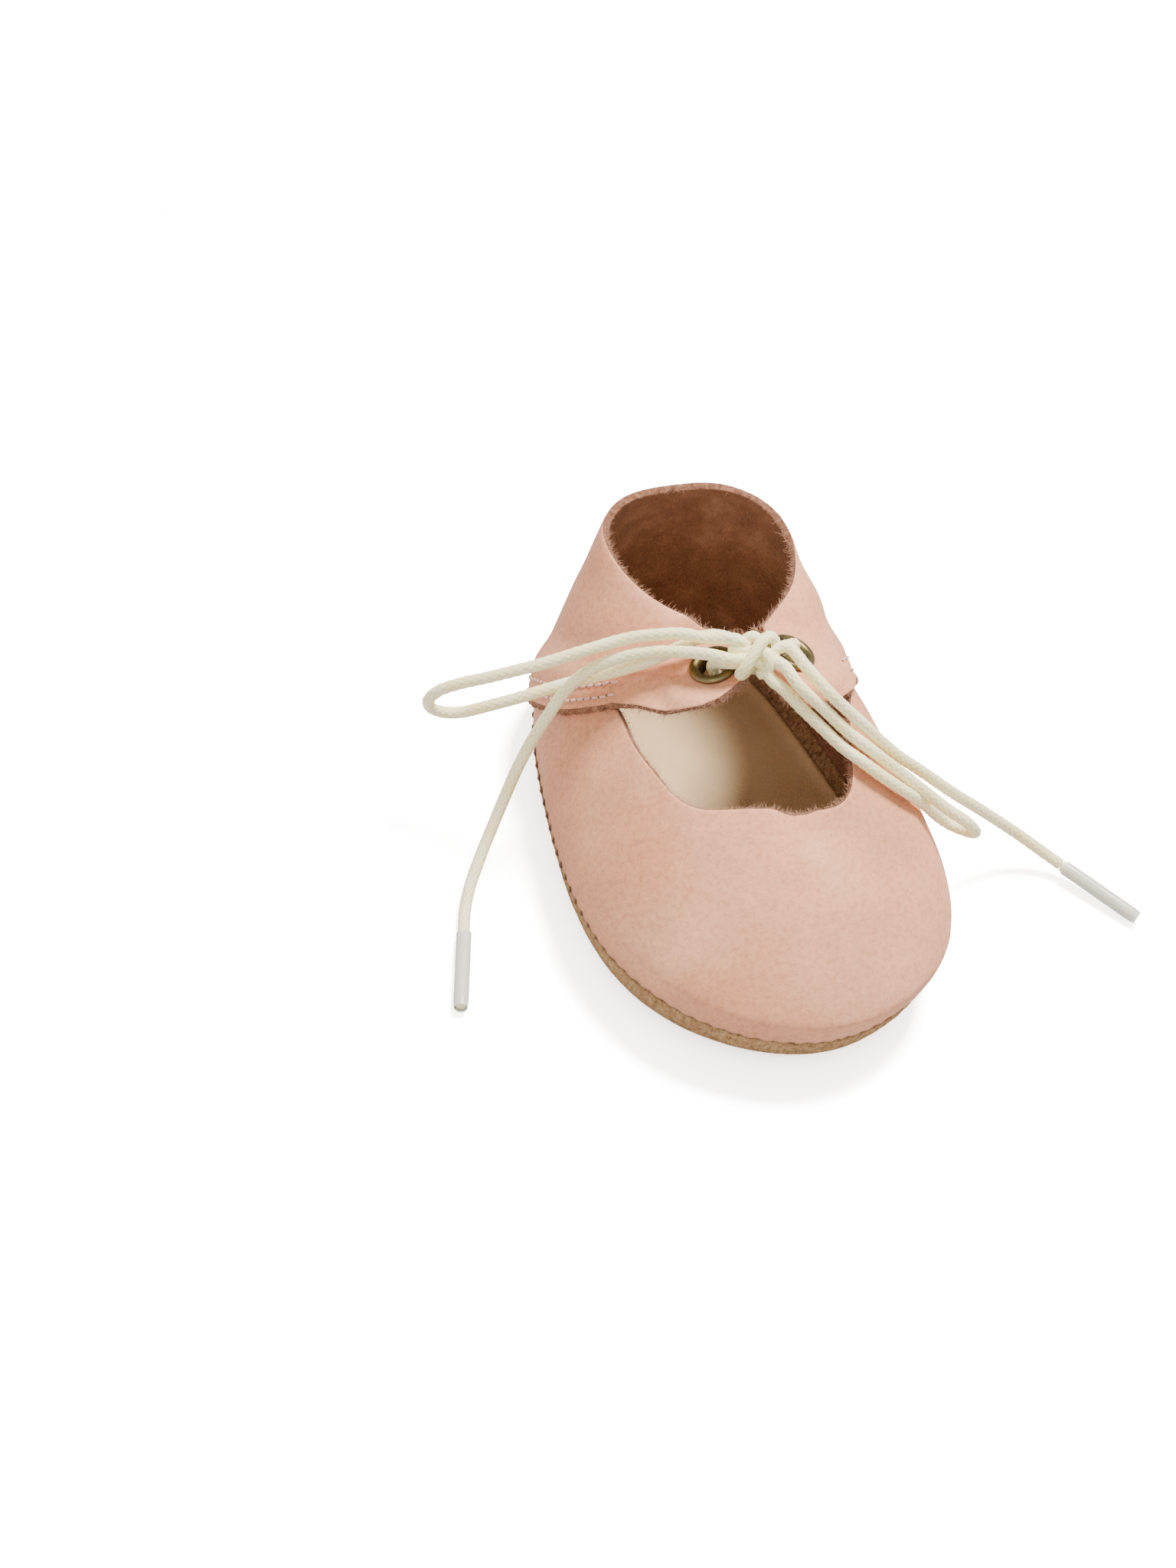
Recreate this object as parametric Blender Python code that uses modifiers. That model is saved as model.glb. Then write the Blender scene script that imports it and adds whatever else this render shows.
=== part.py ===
"""Soft-soled baby mary jane, right foot, tied with a cord through two eyelets.

The toe points to -Y, the inner side of the foot to +X, and the shoe stands on Z = 0.
Every surface is read from one last: w runs once round the shoe from the toe (0) by the
outer side to the heel (1) and back by the inner side (2), and b runs up each of its
lines from the sole seam (0) to the ridge or the collar (1).
"""
import math

import bmesh
import bpy
import numpy as np
from mathutils import Matrix, Vector

# Last
LENGTH = 0.115
BALL_WIDTH = 0.073
TOE_SEAM = 0.0102        # height of the sole seam at the toe, the waist and the heel
WAIST_SEAM = 0.0070
HEEL_SEAM = 0.0090
VAMP_LENGTH = 0.0378     # toe to the front of the throat
VAMP_HEIGHT = 0.0374
STRAP_HEIGHT = 0.0514    # instep under the tie
COLLAR_FRONT = 0.0504
COLLAR_BACK = 0.0500
COLLAR_WIDTH = 0.0386
COLLAR_SET_BACK = 0.0015  # collar's back edge, ahead of the heel

# Leathers
LEATHER = 0.0016
SOLE_LEATHER = 0.0020
SOCK_LEATHER = 0.0018
SOLE_TURN = 0.0070       # how far in the sole's side curves before it is flat
WAIST_LIFT = 0.0004
LAP = 0.0060             # how much the heel piece covers the vamp
LAP_FADE = 0.0080
LAP_BITE = 0.0005        # the two leathers share this much and are one solid
GAP = 0.0003

# Eyelets and cord
EYELET_FLANGE = 0.0100
EYELET_BARREL = 0.0074
EYELET_BORE = 0.0056
EYELET_METAL = 0.0005
EYELET_SEAT = 0.0085     # the strap lies flat this far round each eyelet
CORD = 0.0025
CORD_STEP = 0.0035       # distance between a cord's rings
KNOT = (0.0080, 0.0070, 0.0060)
KNOT_PLACE = (-0.0021, 0.0041, 0.0558)
AGLET = 0.0031

# Half breadths of the sole seam, as shares of half the ball width
OUTLINE = [  # along, outer side, inner side
    (0.000, 0.00, 0.00),
    (0.035, 0.40, 0.46),
    (0.120, 0.74, 0.80),
    (0.260, 0.96, 0.98),
    (0.420, 1.00, 0.97),
    (0.580, 0.95, 0.88),
    (0.740, 0.86, 0.79),
    (0.880, 0.68, 0.64),
    (0.965, 0.38, 0.37),
    (1.000, 0.00, 0.00),
]
TOE_TIP = 0.08           # the toe's tip leans to the big toe

# Shape of the wall's section along the shoe
SECTION = [  # along, bulge and belly as shares of the toe seam, outer and inner fullness, crown
    (0.00, 0.118, 0.59, 1.70, 1.70, 1.15),
    (0.20, 0.118, 0.69, 1.90, 1.90, 1.25),
    (0.42, 0.118, 0.78, 2.00, 2.00, 1.34),
    (0.58, 0.100, 0.78, 1.90, 2.65, 1.30),
    (0.72, 0.078, 0.78, 1.90, 3.00, 1.30),
    (0.86, 0.080, 0.88, 1.67, 1.70, 1.30),
    (1.00, 0.098, 0.98, 1.68, 1.68, 1.40),
]

# Ridge over the instep, from the throat to the notch where the collar starts
RIDGE = [  # share from throat to notch, rise from vamp height to strap height
    (0.00, 0.00),
    (0.45, 0.54),
    (0.78, 1.00),
    (1.00, 0.93),
]
NOTCH_ALONG = 0.61
NOTCH_W = 0.60
COLLAR = [  # breadth, way back, rise: shares of collar width, run and height
    (0.30, 0.09, 0.10),
    (0.72, 0.27, 0.34),
    (1.00, 0.56, 0.66),
    (0.93, 0.82, 0.88),
    (0.58, 0.96, 0.98),
]

# Upper edge of the vamp, then its hidden edge under the heel piece
VAMP_EDGE = {
    "outer": [  # w from the toe, b
        (0.000, 0.925), (0.140, 0.875), (0.220, 0.775), (0.275, 0.675), (0.335, 0.555), (0.412, 0.535),
        (0.504, 0.518), (0.585, 0.512), (0.640, 0.465), (0.700, 0.330), (0.760, 0.195), (0.820, 0.055),
    ],
    "inner": [
        (0.000, 0.925), (0.140, 0.842), (0.220, 0.735), (0.275, 0.705), (0.350, 0.705), (0.400, 0.700),
        (0.460, 0.665), (0.520, 0.610), (0.580, 0.550), (0.660, 0.420), (0.740, 0.235), (0.820, 0.055),
    ],
}

# The heel piece, from the rounded end of its strap to the back of the heel
HEEL_PIECE = {
    "outer": [  # share, lower edge w and b, upper edge w and b
        (0.00, 0.495, 0.976, 0.545, 0.978),
        (0.03, 0.452, 0.956, 0.582, 0.980),
        (0.07, 0.430, 0.905, 0.602, 0.984),
        (0.13, 0.432, 0.840, 0.614, 0.992),
        (0.20, 0.452, 0.765, 0.626, 1.000),
        (0.28, 0.508, 0.658, 0.645, 1.000),
        (0.36, 0.562, 0.575, 0.672, 1.000),
        (0.42, 0.598, 0.505, 0.695, 1.000),
        (0.55, 0.648, 0.360, 0.745, 1.000),
        (0.67, 0.700, 0.240, 0.790, 1.000),
        (0.78, 0.748, 0.110, 0.835, 1.000),
        (0.85, 0.785, 0.000, 0.865, 1.000),
        (1.00, 1.000, 0.000, 1.000, 1.000),
    ],
    "inner": [
        (0.00, 0.460, 0.978, 0.530, 0.980),
        (0.03, 0.405, 0.966, 0.575, 0.981),
        (0.07, 0.368, 0.940, 0.600, 0.984),
        (0.13, 0.368, 0.890, 0.614, 0.992),
        (0.20, 0.388, 0.840, 0.626, 1.000),
        (0.28, 0.430, 0.750, 0.645, 1.000),
        (0.36, 0.480, 0.670, 0.672, 1.000),
        (0.42, 0.535, 0.600, 0.695, 1.000),
        (0.55, 0.605, 0.425, 0.745, 1.000),
        (0.67, 0.675, 0.270, 0.790, 1.000),
        (0.78, 0.740, 0.115, 0.835, 1.000),
        (0.85, 0.785, 0.000, 0.865, 1.000),
        (1.00, 1.000, 0.000, 1.000, 1.000),
    ],
}
FRONT_EDGE = (0.42, 0.85)  # shares between which the heel piece is sewn to the vamp
EYELETS = {"outer": (0.532, 0.858), "inner": (0.524, 0.878)}  # w, b

# Routes of the tied cord, in metres, chosen by hand: each starts or ends at the knot
ROUTES = {
    "lace_loop_outer": [
        (-0.0066, 0.0070, 0.0576), (-0.0103, 0.0099, 0.0552), (-0.0144, 0.0133, 0.0536), (-0.0192, 0.0154, 0.0518),
        (-0.0238, 0.0174, 0.0493), (-0.0310, 0.0184, 0.0462), (-0.0380, 0.0195, 0.0427), (-0.0435, 0.0209, 0.0397),
        (-0.0488, 0.0227, 0.0364), (-0.0533, 0.0244, 0.0336), (-0.0567, 0.0256, 0.0309), (-0.0582, 0.0264, 0.0275),
        (-0.0570, 0.0269, 0.0243), (-0.0540, 0.0267, 0.0226), (-0.0505, 0.0256, 0.0233), (-0.0461, 0.0235, 0.0268),
        (-0.0408, 0.0219, 0.0301), (-0.0357, 0.0209, 0.0328), (-0.0302, 0.0194, 0.0361), (-0.0254, 0.0163, 0.0410),
        (-0.0193, 0.0138, 0.0460), (-0.0139, 0.0134, 0.0496), (-0.0086, 0.0126, 0.0530), (-0.0046, 0.0093, 0.0544),
    ],
    "lace_end_outer": [
        (-0.0075, 0.0035, 0.0556), (-0.0111, 0.0064, 0.0545), (-0.0150, 0.0102, 0.0518), (-0.0194, 0.0130, 0.0496),
        (-0.0239, 0.0150, 0.0470), (-0.0281, 0.0164, 0.0437), (-0.0316, 0.0172, 0.0399), (-0.0346, 0.0168, 0.0357),
        (-0.0370, 0.0159, 0.0308), (-0.0398, 0.0146, 0.0250), (-0.0424, 0.0127, 0.0195), (-0.0448, 0.0103, 0.0142),
        (-0.0474, 0.0073, 0.0096), (-0.0509, 0.0028, 0.0056), (-0.0543, -0.0023, 0.0029), (-0.0568, -0.0074, 0.0016),
        (-0.0586, -0.0124, 0.0014),
    ],
    "lace_loop_inner": [
        (0.0016, -0.0004, 0.0564), (0.0037, -0.0046, 0.0547), (0.0089, -0.0072, 0.0503), (0.0134, -0.0101, 0.0466),
        (0.0173, -0.0127, 0.0441), (0.0214, -0.0146, 0.0412), (0.0260, -0.0162, 0.0377), (0.0305, -0.0184, 0.0345),
        (0.0355, -0.0213, 0.0312), (0.0395, -0.0235, 0.0290), (0.0423, -0.0237, 0.0256), (0.0426, -0.0209, 0.0224),
        (0.0401, -0.0180, 0.0217), (0.0370, -0.0174, 0.0241), (0.0342, -0.0181, 0.0274), (0.0305, -0.0188, 0.0316),
        (0.0263, -0.0192, 0.0355), (0.0207, -0.0177, 0.0395), (0.0163, -0.0154, 0.0423), (0.0127, -0.0121, 0.0438),
        (0.0089, -0.0091, 0.0466), (0.0048, -0.0062, 0.0499), (0.0014, -0.0030, 0.0526), (-0.0006, -0.0008, 0.0534),
    ],
    "lace_end_inner": [
        (0.0036, 0.0032, 0.0576), (0.0060, -0.0012, 0.0563), (0.0094, -0.0055, 0.0537), (0.0137, -0.0080, 0.0500),
        (0.0178, -0.0098, 0.0465), (0.0218, -0.0111, 0.0427), (0.0266, -0.0122, 0.0384), (0.0318, -0.0126, 0.0341),
        (0.0374, -0.0127, 0.0291), (0.0430, -0.0123, 0.0239), (0.0500, -0.0119, 0.0178), (0.0562, -0.0119, 0.0125),
        (0.0622, -0.0130, 0.0079), (0.0676, -0.0157, 0.0045), (0.0710, -0.0183, 0.0029),
    ],
}
AGLET_ENDS = {
    "aglet_outer": [(-0.0587, -0.01275, 0.0016), (-0.0650, -0.0302, 0.0016)],
    "aglet_inner": [(0.0716, -0.0191, 0.00275), (0.0825, -0.0337, 0.00165)],
}

MATERIALS = {  # colour, roughness, metallic
    "leather": ((0.72, 0.46, 0.36), 0.75, 0.0),
    "sole": ((0.52, 0.36, 0.21), 0.9, 0.0),
    "sock": ((0.74, 0.62, 0.45), 0.7, 0.0),
    "brass": ((0.28, 0.22, 0.11), 0.35, 1.0),
    "cord": ((0.80, 0.76, 0.62), 0.8, 0.0),
    "aglet": ((0.82, 0.83, 0.78), 0.35, 0.0),
}


def column(table, index):
    return np.array([row[index] for row in table], float)


def ease(table, index, x):
    """Read a table's column at x, on a smooth curve that never overshoots its rows."""
    xs, ys = column(table, 0), column(table, index)
    run = np.diff(xs)
    rise = np.diff(ys) / run
    slope = np.zeros_like(ys)
    for i in range(1, len(xs) - 1):
        if rise[i - 1] * rise[i] > 0:
            before, after = 2 * run[i] + run[i - 1], run[i] + 2 * run[i - 1]
            slope[i] = (before + after) / (before / rise[i - 1] + after / rise[i])
    x = np.clip(x, xs[0], xs[-1])
    i = np.clip(np.searchsorted(xs, x, side="right") - 1, 0, len(xs) - 2)
    t = (x - xs[i]) / run[i]
    keep = (1 + 2 * t) * (1 - t) ** 2 * ys[i] + t * t * (3 - 2 * t) * ys[i + 1]
    lean = t * (1 - t) ** 2 * slope[i] - t * t * (1 - t) * slope[i + 1]
    return keep + lean * run[i]


def closed_spline(points):
    """A smooth closed curve through the points, read by distance round it."""
    points = np.asarray(points, float)
    count = len(points)
    chord = np.linalg.norm(np.roll(points, -1, 0) - points, axis=1)
    system = np.zeros((count, count))
    right = np.zeros_like(points)
    for i in range(count):
        before, after = chord[i - 1], chord[i]
        system[i, i - 1] += before / 6
        system[i, i] += (before + after) / 3
        system[i, (i + 1) % count] += after / 6
        right[i] = (points[(i + 1) % count] - points[i]) / after - (points[i] - points[i - 1]) / before
    bend = np.linalg.solve(system, right)
    knots = np.concatenate([[0.0], np.cumsum(chord)])

    def read(s):
        s = np.mod(s, knots[-1])
        i = np.clip(np.searchsorted(knots, s, side="right") - 1, 0, count - 1)
        j = (i + 1) % count
        a, b, h = (knots[i + 1] - s)[:, None], (s - knots[i])[:, None], chord[i][:, None]
        cubic = (bend[i] * a ** 3 + bend[j] * b ** 3) / (6 * h)
        return cubic + (points[i] / h - bend[i] * h / 6) * a + (points[j] / h - bend[j] * h / 6) * b

    return read, knots


def outline_curve():
    inner_rows = OUTLINE[1:-1]
    points = [(TOE_TIP * BALL_WIDTH / 2, -LENGTH / 2)]
    points += [(-outer * BALL_WIDTH / 2, (along - 0.5) * LENGTH) for along, outer, inner in inner_rows]
    points.append((0.0, LENGTH / 2))
    points += [(inner * BALL_WIDTH / 2, (along - 0.5) * LENGTH) for along, outer, inner in inner_rows[::-1]]
    read, knots = closed_spline(points)
    return read, knots[len(OUTLINE) - 1], knots[-1]


def collar_curve():
    front = (0.0, (NOTCH_ALONG - 0.5) * LENGTH, COLLAR_FRONT)
    run = LENGTH / 2 - COLLAR_SET_BACK - front[1]
    side = [(COLLAR_WIDTH / 2 * x, front[1] + run * y, front[2] + (COLLAR_BACK - COLLAR_FRONT) * z)
            for x, y, z in COLLAR]
    back = (0.0, front[1] + run, COLLAR_BACK)
    points = [front] + [(-x, y, z) for x, y, z in side] + [back] + side[::-1]
    read, knots = closed_spline(points)
    return read, knots[len(side) + 1]


SEAM_LINE, SEAM_TO_HEEL, SEAM_ROUND = outline_curve()
COLLAR_LINE, COLLAR_HALF = collar_curve()


def seam_point(w):
    """The sole seam seen from above, and how far along the shoe it is."""
    s = np.where(w <= 1, w * SEAM_TO_HEEL, SEAM_TO_HEEL + (w - 1) * (SEAM_ROUND - SEAM_TO_HEEL))
    foot = SEAM_LINE(s)
    return foot, np.clip(foot[:, 1] / LENGTH + 0.5, 0, 1)


def seam_height(along):
    table = [(0, TOE_SEAM), (0.3, (TOE_SEAM + WAIST_SEAM) / 2), (0.55, WAIST_SEAM),
             (0.75, WAIST_SEAM + 0.25 * (HEEL_SEAM - WAIST_SEAM)), (1, HEEL_SEAM)]
    return ease(table, 1, along)


def top_line(w):
    """Where the last's lines end: on the ridge ahead of the notch, on the collar behind it."""
    t = np.where(w <= 1, w, 2 - w)
    k = np.clip(t / NOTCH_W, 0, 1)
    share = k ** 1.6 / (k ** 1.6 + 0.9 * (1 - k))
    front = -LENGTH / 2 + VAMP_LENGTH + LEATHER
    ridge = np.zeros((len(w), 3))
    ridge[:, 1] = front + ((NOTCH_ALONG - 0.5) * LENGTH - front) * share
    rise = ease(RIDGE, 1, share)
    ridge[:, 2] = VAMP_HEIGHT + (STRAP_HEIGHT - VAMP_HEIGHT) * rise
    notch = np.clip((share - RIDGE[-2][0]) / (1 - RIDGE[-2][0]), 0, 1)
    notch_rise = VAMP_HEIGHT + (STRAP_HEIGHT - VAMP_HEIGHT) * RIDGE[-1][1]
    ridge[:, 2] += (COLLAR_FRONT - notch_rise) * notch ** 2 * (3 - 2 * notch)
    tau = np.clip((t - NOTCH_W) / (1 - NOTCH_W), 0, 1)
    collar = COLLAR_LINE(np.where(w <= 1, tau, -tau) * COLLAR_HALF)
    return np.where((t > NOTCH_W)[:, None], collar, ridge)


def last(w, b):
    """Points on the outside of the shoe."""
    w, b = np.mod(np.asarray(w, float).ravel(), 2), np.asarray(b, float).ravel()
    foot, along = seam_point(w)
    top = top_line(w)
    seam = seam_height(along)
    bulge, belly = ease(SECTION, 1, along) * TOE_SEAM, ease(SECTION, 2, along) * TOE_SEAM
    full = np.where(w <= 1, ease(SECTION, 3, along), ease(SECTION, 4, along))
    crown = ease(SECTION, 5, along)
    way = top[:, :2] - foot
    reach = np.linalg.norm(way, axis=1)
    way = way / reach[:, None]
    low = np.linspace(0, 1, 12)[None]
    turn = np.linspace(0, math.pi / 2, 48)[None, 1:]
    wide, high = (reach + bulge)[:, None], (top[:, 2] - seam - belly)[:, None]
    side = np.hstack([-bulge[:, None] * (1 - (1 - low) ** 2),
                      wide * (1 - np.clip(np.cos(turn), 0, 1) ** (2 / full[:, None])) - bulge[:, None]])
    height = np.hstack([seam[:, None] + belly[:, None] * low,
                        (seam + belly)[:, None] + high * np.sin(turn) ** (2 / crown[:, None])])
    arc = np.hstack([np.zeros((len(w), 1)), np.cumsum(np.hypot(np.diff(side), np.diff(height)), axis=1)])
    target = b * arc[:, -1]
    i = np.clip((arc <= target[:, None]).sum(axis=1) - 1, 0, arc.shape[1] - 2)
    row = np.arange(len(w))
    t = ((target - arc[row, i]) / (arc[row, i + 1] - arc[row, i]))[:, None]
    pair = np.stack([side, height], axis=2)
    flat = pair[row, i] * (1 - t) + pair[row, i + 1] * t
    return np.column_stack([foot + way * flat[:, :1], flat[:, 1]])


def outward(w, b, step=0.004):
    """The last's outward normal."""
    w, b = np.asarray(w, float).ravel(), np.asarray(b, float).ravel()
    up = last(w, np.clip(b + step, 0, 1)) - last(w, np.clip(b - step, 0, 1))
    normal = np.cross(up, last(w + step, b) - last(w - step, b))
    return normal / np.linalg.norm(normal, axis=1)[:, None]


def smooth_step(x):
    x = np.clip(x, 0, 1)
    return x * x * (3 - 2 * x)


def signed_w(side, t):
    return t if side == "outer" else 2 - t


def add_material(name):
    colour, roughness, metallic = MATERIALS[name]
    material = bpy.data.materials.new(name)
    material.use_nodes = True
    shader = material.node_tree.nodes["Principled BSDF"]
    shader.inputs["Base Color"].default_value = (*colour, 1)
    shader.inputs["Roughness"].default_value = roughness
    shader.inputs["Metallic"].default_value = metallic
    return material


def add_object(name, mesh, collection, material=None):
    thing = bpy.data.objects.new(name, mesh)
    collection.objects.link(thing)
    if material:
        mesh.materials.append(MATERIAL[material])
    return thing


def grid_mesh(name, rows, columns, points, close=False, weld=0.0):
    """A sheet of quads over rows of points, optionally joined end to end."""
    bm = bmesh.new()
    corners = [bm.verts.new(point) for point in points]
    for i in range(rows if close else rows - 1):
        for j in range(columns - 1):
            k = (i + 1) % rows
            bm.faces.new([corners[i * columns + j], corners[i * columns + j + 1],
                          corners[k * columns + j + 1], corners[k * columns + j]])
    if weld:
        bmesh.ops.remove_doubles(bm, verts=bm.verts, dist=weld)
    mesh = bpy.data.meshes.new(name)
    bm.to_mesh(mesh)
    bm.free()
    mesh.shade_smooth()
    return mesh


def add_wall(thing, thickness, offset=-1):
    wall = thing.modifiers.new("wall", "SOLIDIFY")
    wall.thickness = thickness
    wall.offset = offset
    wall.use_even_offset = False
    wall.use_quality_normals = True


def add_boolean(thing, other, operation):
    cut = thing.modifiers.new(operation.lower(), "BOOLEAN")
    cut.operation = operation
    cut.object = other
    cut.solver = "EXACT"


def eyelet_frame(side):
    """Centre and outward direction of an eyelet, on the flat seat around it."""
    t, b = EYELETS[side]
    w = signed_w(side, t)
    return last([w], [b])[0], outward([w], [b], 0.03)[0]


def vamp_points(rows, columns):
    share = np.linspace(-1, 1, rows)
    reach = VAMP_EDGE["outer"][-1][0]
    w, edge = [], []
    for value in share:
        side = "inner" if value < 0 else "outer"
        t = abs(value) * reach
        w.append(signed_w(side, t))
        edge.append(ease(VAMP_EDGE[side], 1, np.array([t]))[0])
    up = np.linspace(0, 1, columns)
    return last(np.repeat(w, columns), np.outer(edge, up).ravel())


def front_edge_line(side, count=60):
    share = np.linspace(*FRONT_EDGE, count)
    table = HEEL_PIECE[side]
    return last(signed_w(side, ease(table, 1, share)), ease(table, 2, share))


def heel_piece_points(shares, columns):
    """Points of the heel piece; shares run 0 to 1 on the outer side, then 1 to 2 on the inner side."""
    up = np.linspace(0, 1, columns)
    w, b = [], []
    for share in shares:
        side, s = ("outer", share) if share <= 1 else ("inner", 2 - share)
        low_w, low_b, top_w, top_b = [ease(HEEL_PIECE[side], i, np.array([s]))[0] for i in (1, 2, 3, 4)]
        w.append(signed_w(side, low_w + (top_w - low_w) * up))
        b.append(low_b + (top_b - low_b) * up)
    w, b = np.concatenate(w), np.concatenate(b)
    points = last(w, b)
    normal = outward(w, np.clip(b, 0.004, 0.996))
    edges = np.concatenate([front_edge_line("outer"), front_edge_line("inner")])
    away = np.array([np.linalg.norm(edges - point, axis=1).min() for point in points])
    points += normal * ((LEATHER - LAP_BITE) * (1 - smooth_step((away - LAP * 1.1) / LAP_FADE)))[:, None]
    for side in EYELETS:
        centre, axis = eyelet_frame(side)
        height = (points - centre) @ axis
        spread = np.linalg.norm(points - centre - np.outer(height, axis), axis=1)
        flat = (1 - smooth_step((spread - EYELET_SEAT) / (EYELET_SEAT / 2))) * (np.abs(height) < EYELET_SEAT)
        points -= np.outer(height * flat, axis)
    return points


def make_upper(parts, cutters):
    rows, columns = 57, 10
    vamp = add_object("upper", grid_mesh("upper", rows, columns, vamp_points(rows, columns)), parts, "leather")
    add_wall(vamp, LEATHER)
    half = np.concatenate([np.linspace(0, 0.10, 6)[:-1], np.linspace(0.10, 0.42, 10)[:-1],
                           np.linspace(0.42, 0.85, 10)[:-1], np.linspace(0.85, 1, 7)])
    shares = np.concatenate([half, 2 - half[-2::-1]])
    columns = 12
    points = heel_piece_points(shares, columns)
    heel_piece = add_object("heel_piece", grid_mesh("heel_piece", len(shares), columns, points), cutters)
    add_wall(heel_piece, LEATHER)
    add_boolean(vamp, heel_piece, "UNION")
    for side in EYELETS:
        centre, axis = eyelet_frame(side)
        bm = bmesh.new()
        bmesh.ops.create_cone(bm, cap_ends=True, segments=24, radius1=EYELET_BARREL / 2 + GAP,
                              radius2=EYELET_BARREL / 2 + GAP, depth=8 * LEATHER)
        mesh = bpy.data.meshes.new("hole_" + side)
        bm.to_mesh(mesh)
        bm.free()
        hole = add_object("hole_" + side, mesh, cutters)
        hole.matrix_world = placed(centre, axis)
        add_boolean(vamp, hole, "DIFFERENCE")
    return vamp


def placed(centre, axis):
    turn = Vector(axis).to_track_quat("Z", "Y").to_matrix().to_4x4()
    return Matrix.Translation(Vector(centre)) @ turn


def dish_points(w, angles, raise_by, inner_rings):
    """Rings of the sole's dish, raised off its outside by a thickness, closing on a middle line."""
    foot, along = seam_point(w)
    seam = seam_height(along) - GAP
    step = 1e-3
    ahead, behind = seam_point(np.mod(w + step, 2))[0], seam_point(np.mod(w - step, 2))[0]
    run = ahead - behind
    inward = np.column_stack([run[:, 1], -run[:, 0]])
    inward /= np.linalg.norm(inward, axis=1)[:, None]
    turn = SOLE_TURN * (1 + 0.45 * smooth_step((0.25 - along) / 0.25))
    lift = WAIST_LIFT * smooth_step((along - 0.42) / 0.08) * smooth_step((0.74 - along) / 0.08)
    t = np.where(w <= 1, w, 2 - w)
    middle = np.column_stack([0 * w, LENGTH * (-0.20 + 0.48 * smooth_step(t))])
    rings = []
    for angle in angles:
        lean = np.column_stack([seam * math.cos(angle), turn * math.sin(angle)])
        lean /= np.linalg.norm(lean, axis=1)[:, None]
        inset = turn * (1 - math.cos(angle)) + raise_by * lean[:, 0]
        height = seam * (1 - math.sin(angle)) + raise_by * lean[:, 1] + lift * math.sin(angle)
        rings.append(np.column_stack([foot + inward * inset[:, None], height]))
    edge = rings[-1]
    for share in np.linspace(0, 1, inner_rings + 1)[1:]:
        flat = edge[:, :2] * (1 - share) + middle * share
        height = raise_by + lift * (1 - share)
        rings.append(np.column_stack([flat, height]))
    return np.stack(rings, axis=1).reshape(-1, 3)


def make_dish(name, parts, material, first_angle, raise_by, thickness, around=64, bends=6, inner_rings=3):
    half = around // 2
    w = np.concatenate([np.linspace(0, 1, half + 1), 2 - np.linspace(1, 0, half + 1)[1:-1]])
    angles = np.linspace(first_angle, math.pi / 2, bends)
    points = dish_points(w, angles, raise_by, inner_rings)
    columns = bends + inner_rings
    mesh = grid_mesh(name, len(w), columns, points, close=True, weld=1e-5)
    dish = add_object(name, mesh, parts, material)
    add_wall(dish, thickness, offset=1)
    return dish


def make_eyelet(side, parts):
    """A turned brass eyelet: a rolled flange above the leather, a barrel and a clenched flange below."""
    centre, axis = eyelet_frame(side)
    bore, barrel, flange = EYELET_BORE / 2, EYELET_BARREL / 2, EYELET_FLANGE / 2
    under = -LEATHER - GAP
    clench = barrel + 0.35 * (flange - barrel)
    profile = [
        (barrel, GAP), (flange, GAP), (flange, GAP + EYELET_METAL), (flange - 0.12 * flange, GAP + 2 * EYELET_METAL),
        (barrel, GAP + 2 * EYELET_METAL), (bore + 0.1 * bore, GAP), (bore, -LEATHER / 2),
        (bore, under - EYELET_METAL), (clench, under - EYELET_METAL), (clench, under), (barrel, under),
    ]
    bm = bmesh.new()
    corners = [bm.verts.new((x, 0, z)) for x, z in profile]
    for i in range(len(corners)):
        bm.edges.new((corners[i], corners[i - 1]))
    mesh = bpy.data.meshes.new("eyelet_" + side)
    bm.to_mesh(mesh)
    bm.free()
    eyelet = add_object("eyelet_" + side, mesh, parts, "brass")
    turn = eyelet.modifiers.new("turned", "SCREW")
    turn.steps = turn.render_steps = 24
    turn.use_merge_vertices = True
    turn.merge_threshold = 0.00001
    eyelet.matrix_world = placed(centre, axis)
    return eyelet


def smooth_route(points, step):
    """Points a step apart on a smooth curve through a route's own points."""
    points = np.asarray(points, float)
    ends = np.vstack([2 * points[0] - points[1], points, 2 * points[-1] - points[-2]])
    fine = []
    for a, b, c, d in zip(ends, ends[1:], ends[2:], ends[3:]):
        for t in np.linspace(0, 1, 16, endpoint=False):
            fine.append(0.5 * (2 * b + (c - a) * t + (2 * a - 5 * b + 4 * c - d) * t * t
                               + (3 * b - a - 3 * c + d) * t ** 3))
    fine = np.vstack([fine, points[-1]])
    run = np.concatenate([[0], np.cumsum(np.linalg.norm(np.diff(fine, axis=0), axis=1))])
    stops = np.linspace(0, run[-1], max(2, round(run[-1] / step) + 1))
    return np.column_stack([np.interp(stops, run, fine[:, axis]) for axis in range(3)])


def make_tube(name, points, diameter, parts, material):
    curve = bpy.data.curves.new(name, "CURVE")
    curve.dimensions = "3D"
    curve.bevel_depth = diameter / 2
    curve.bevel_resolution = 2
    curve.use_fill_caps = True
    spline = curve.splines.new("POLY")
    spline.points.add(len(points) - 1)
    for point, place in zip(spline.points, points):
        point.co = (*place, 1)
    return add_object(name, curve, parts, material)


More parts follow.
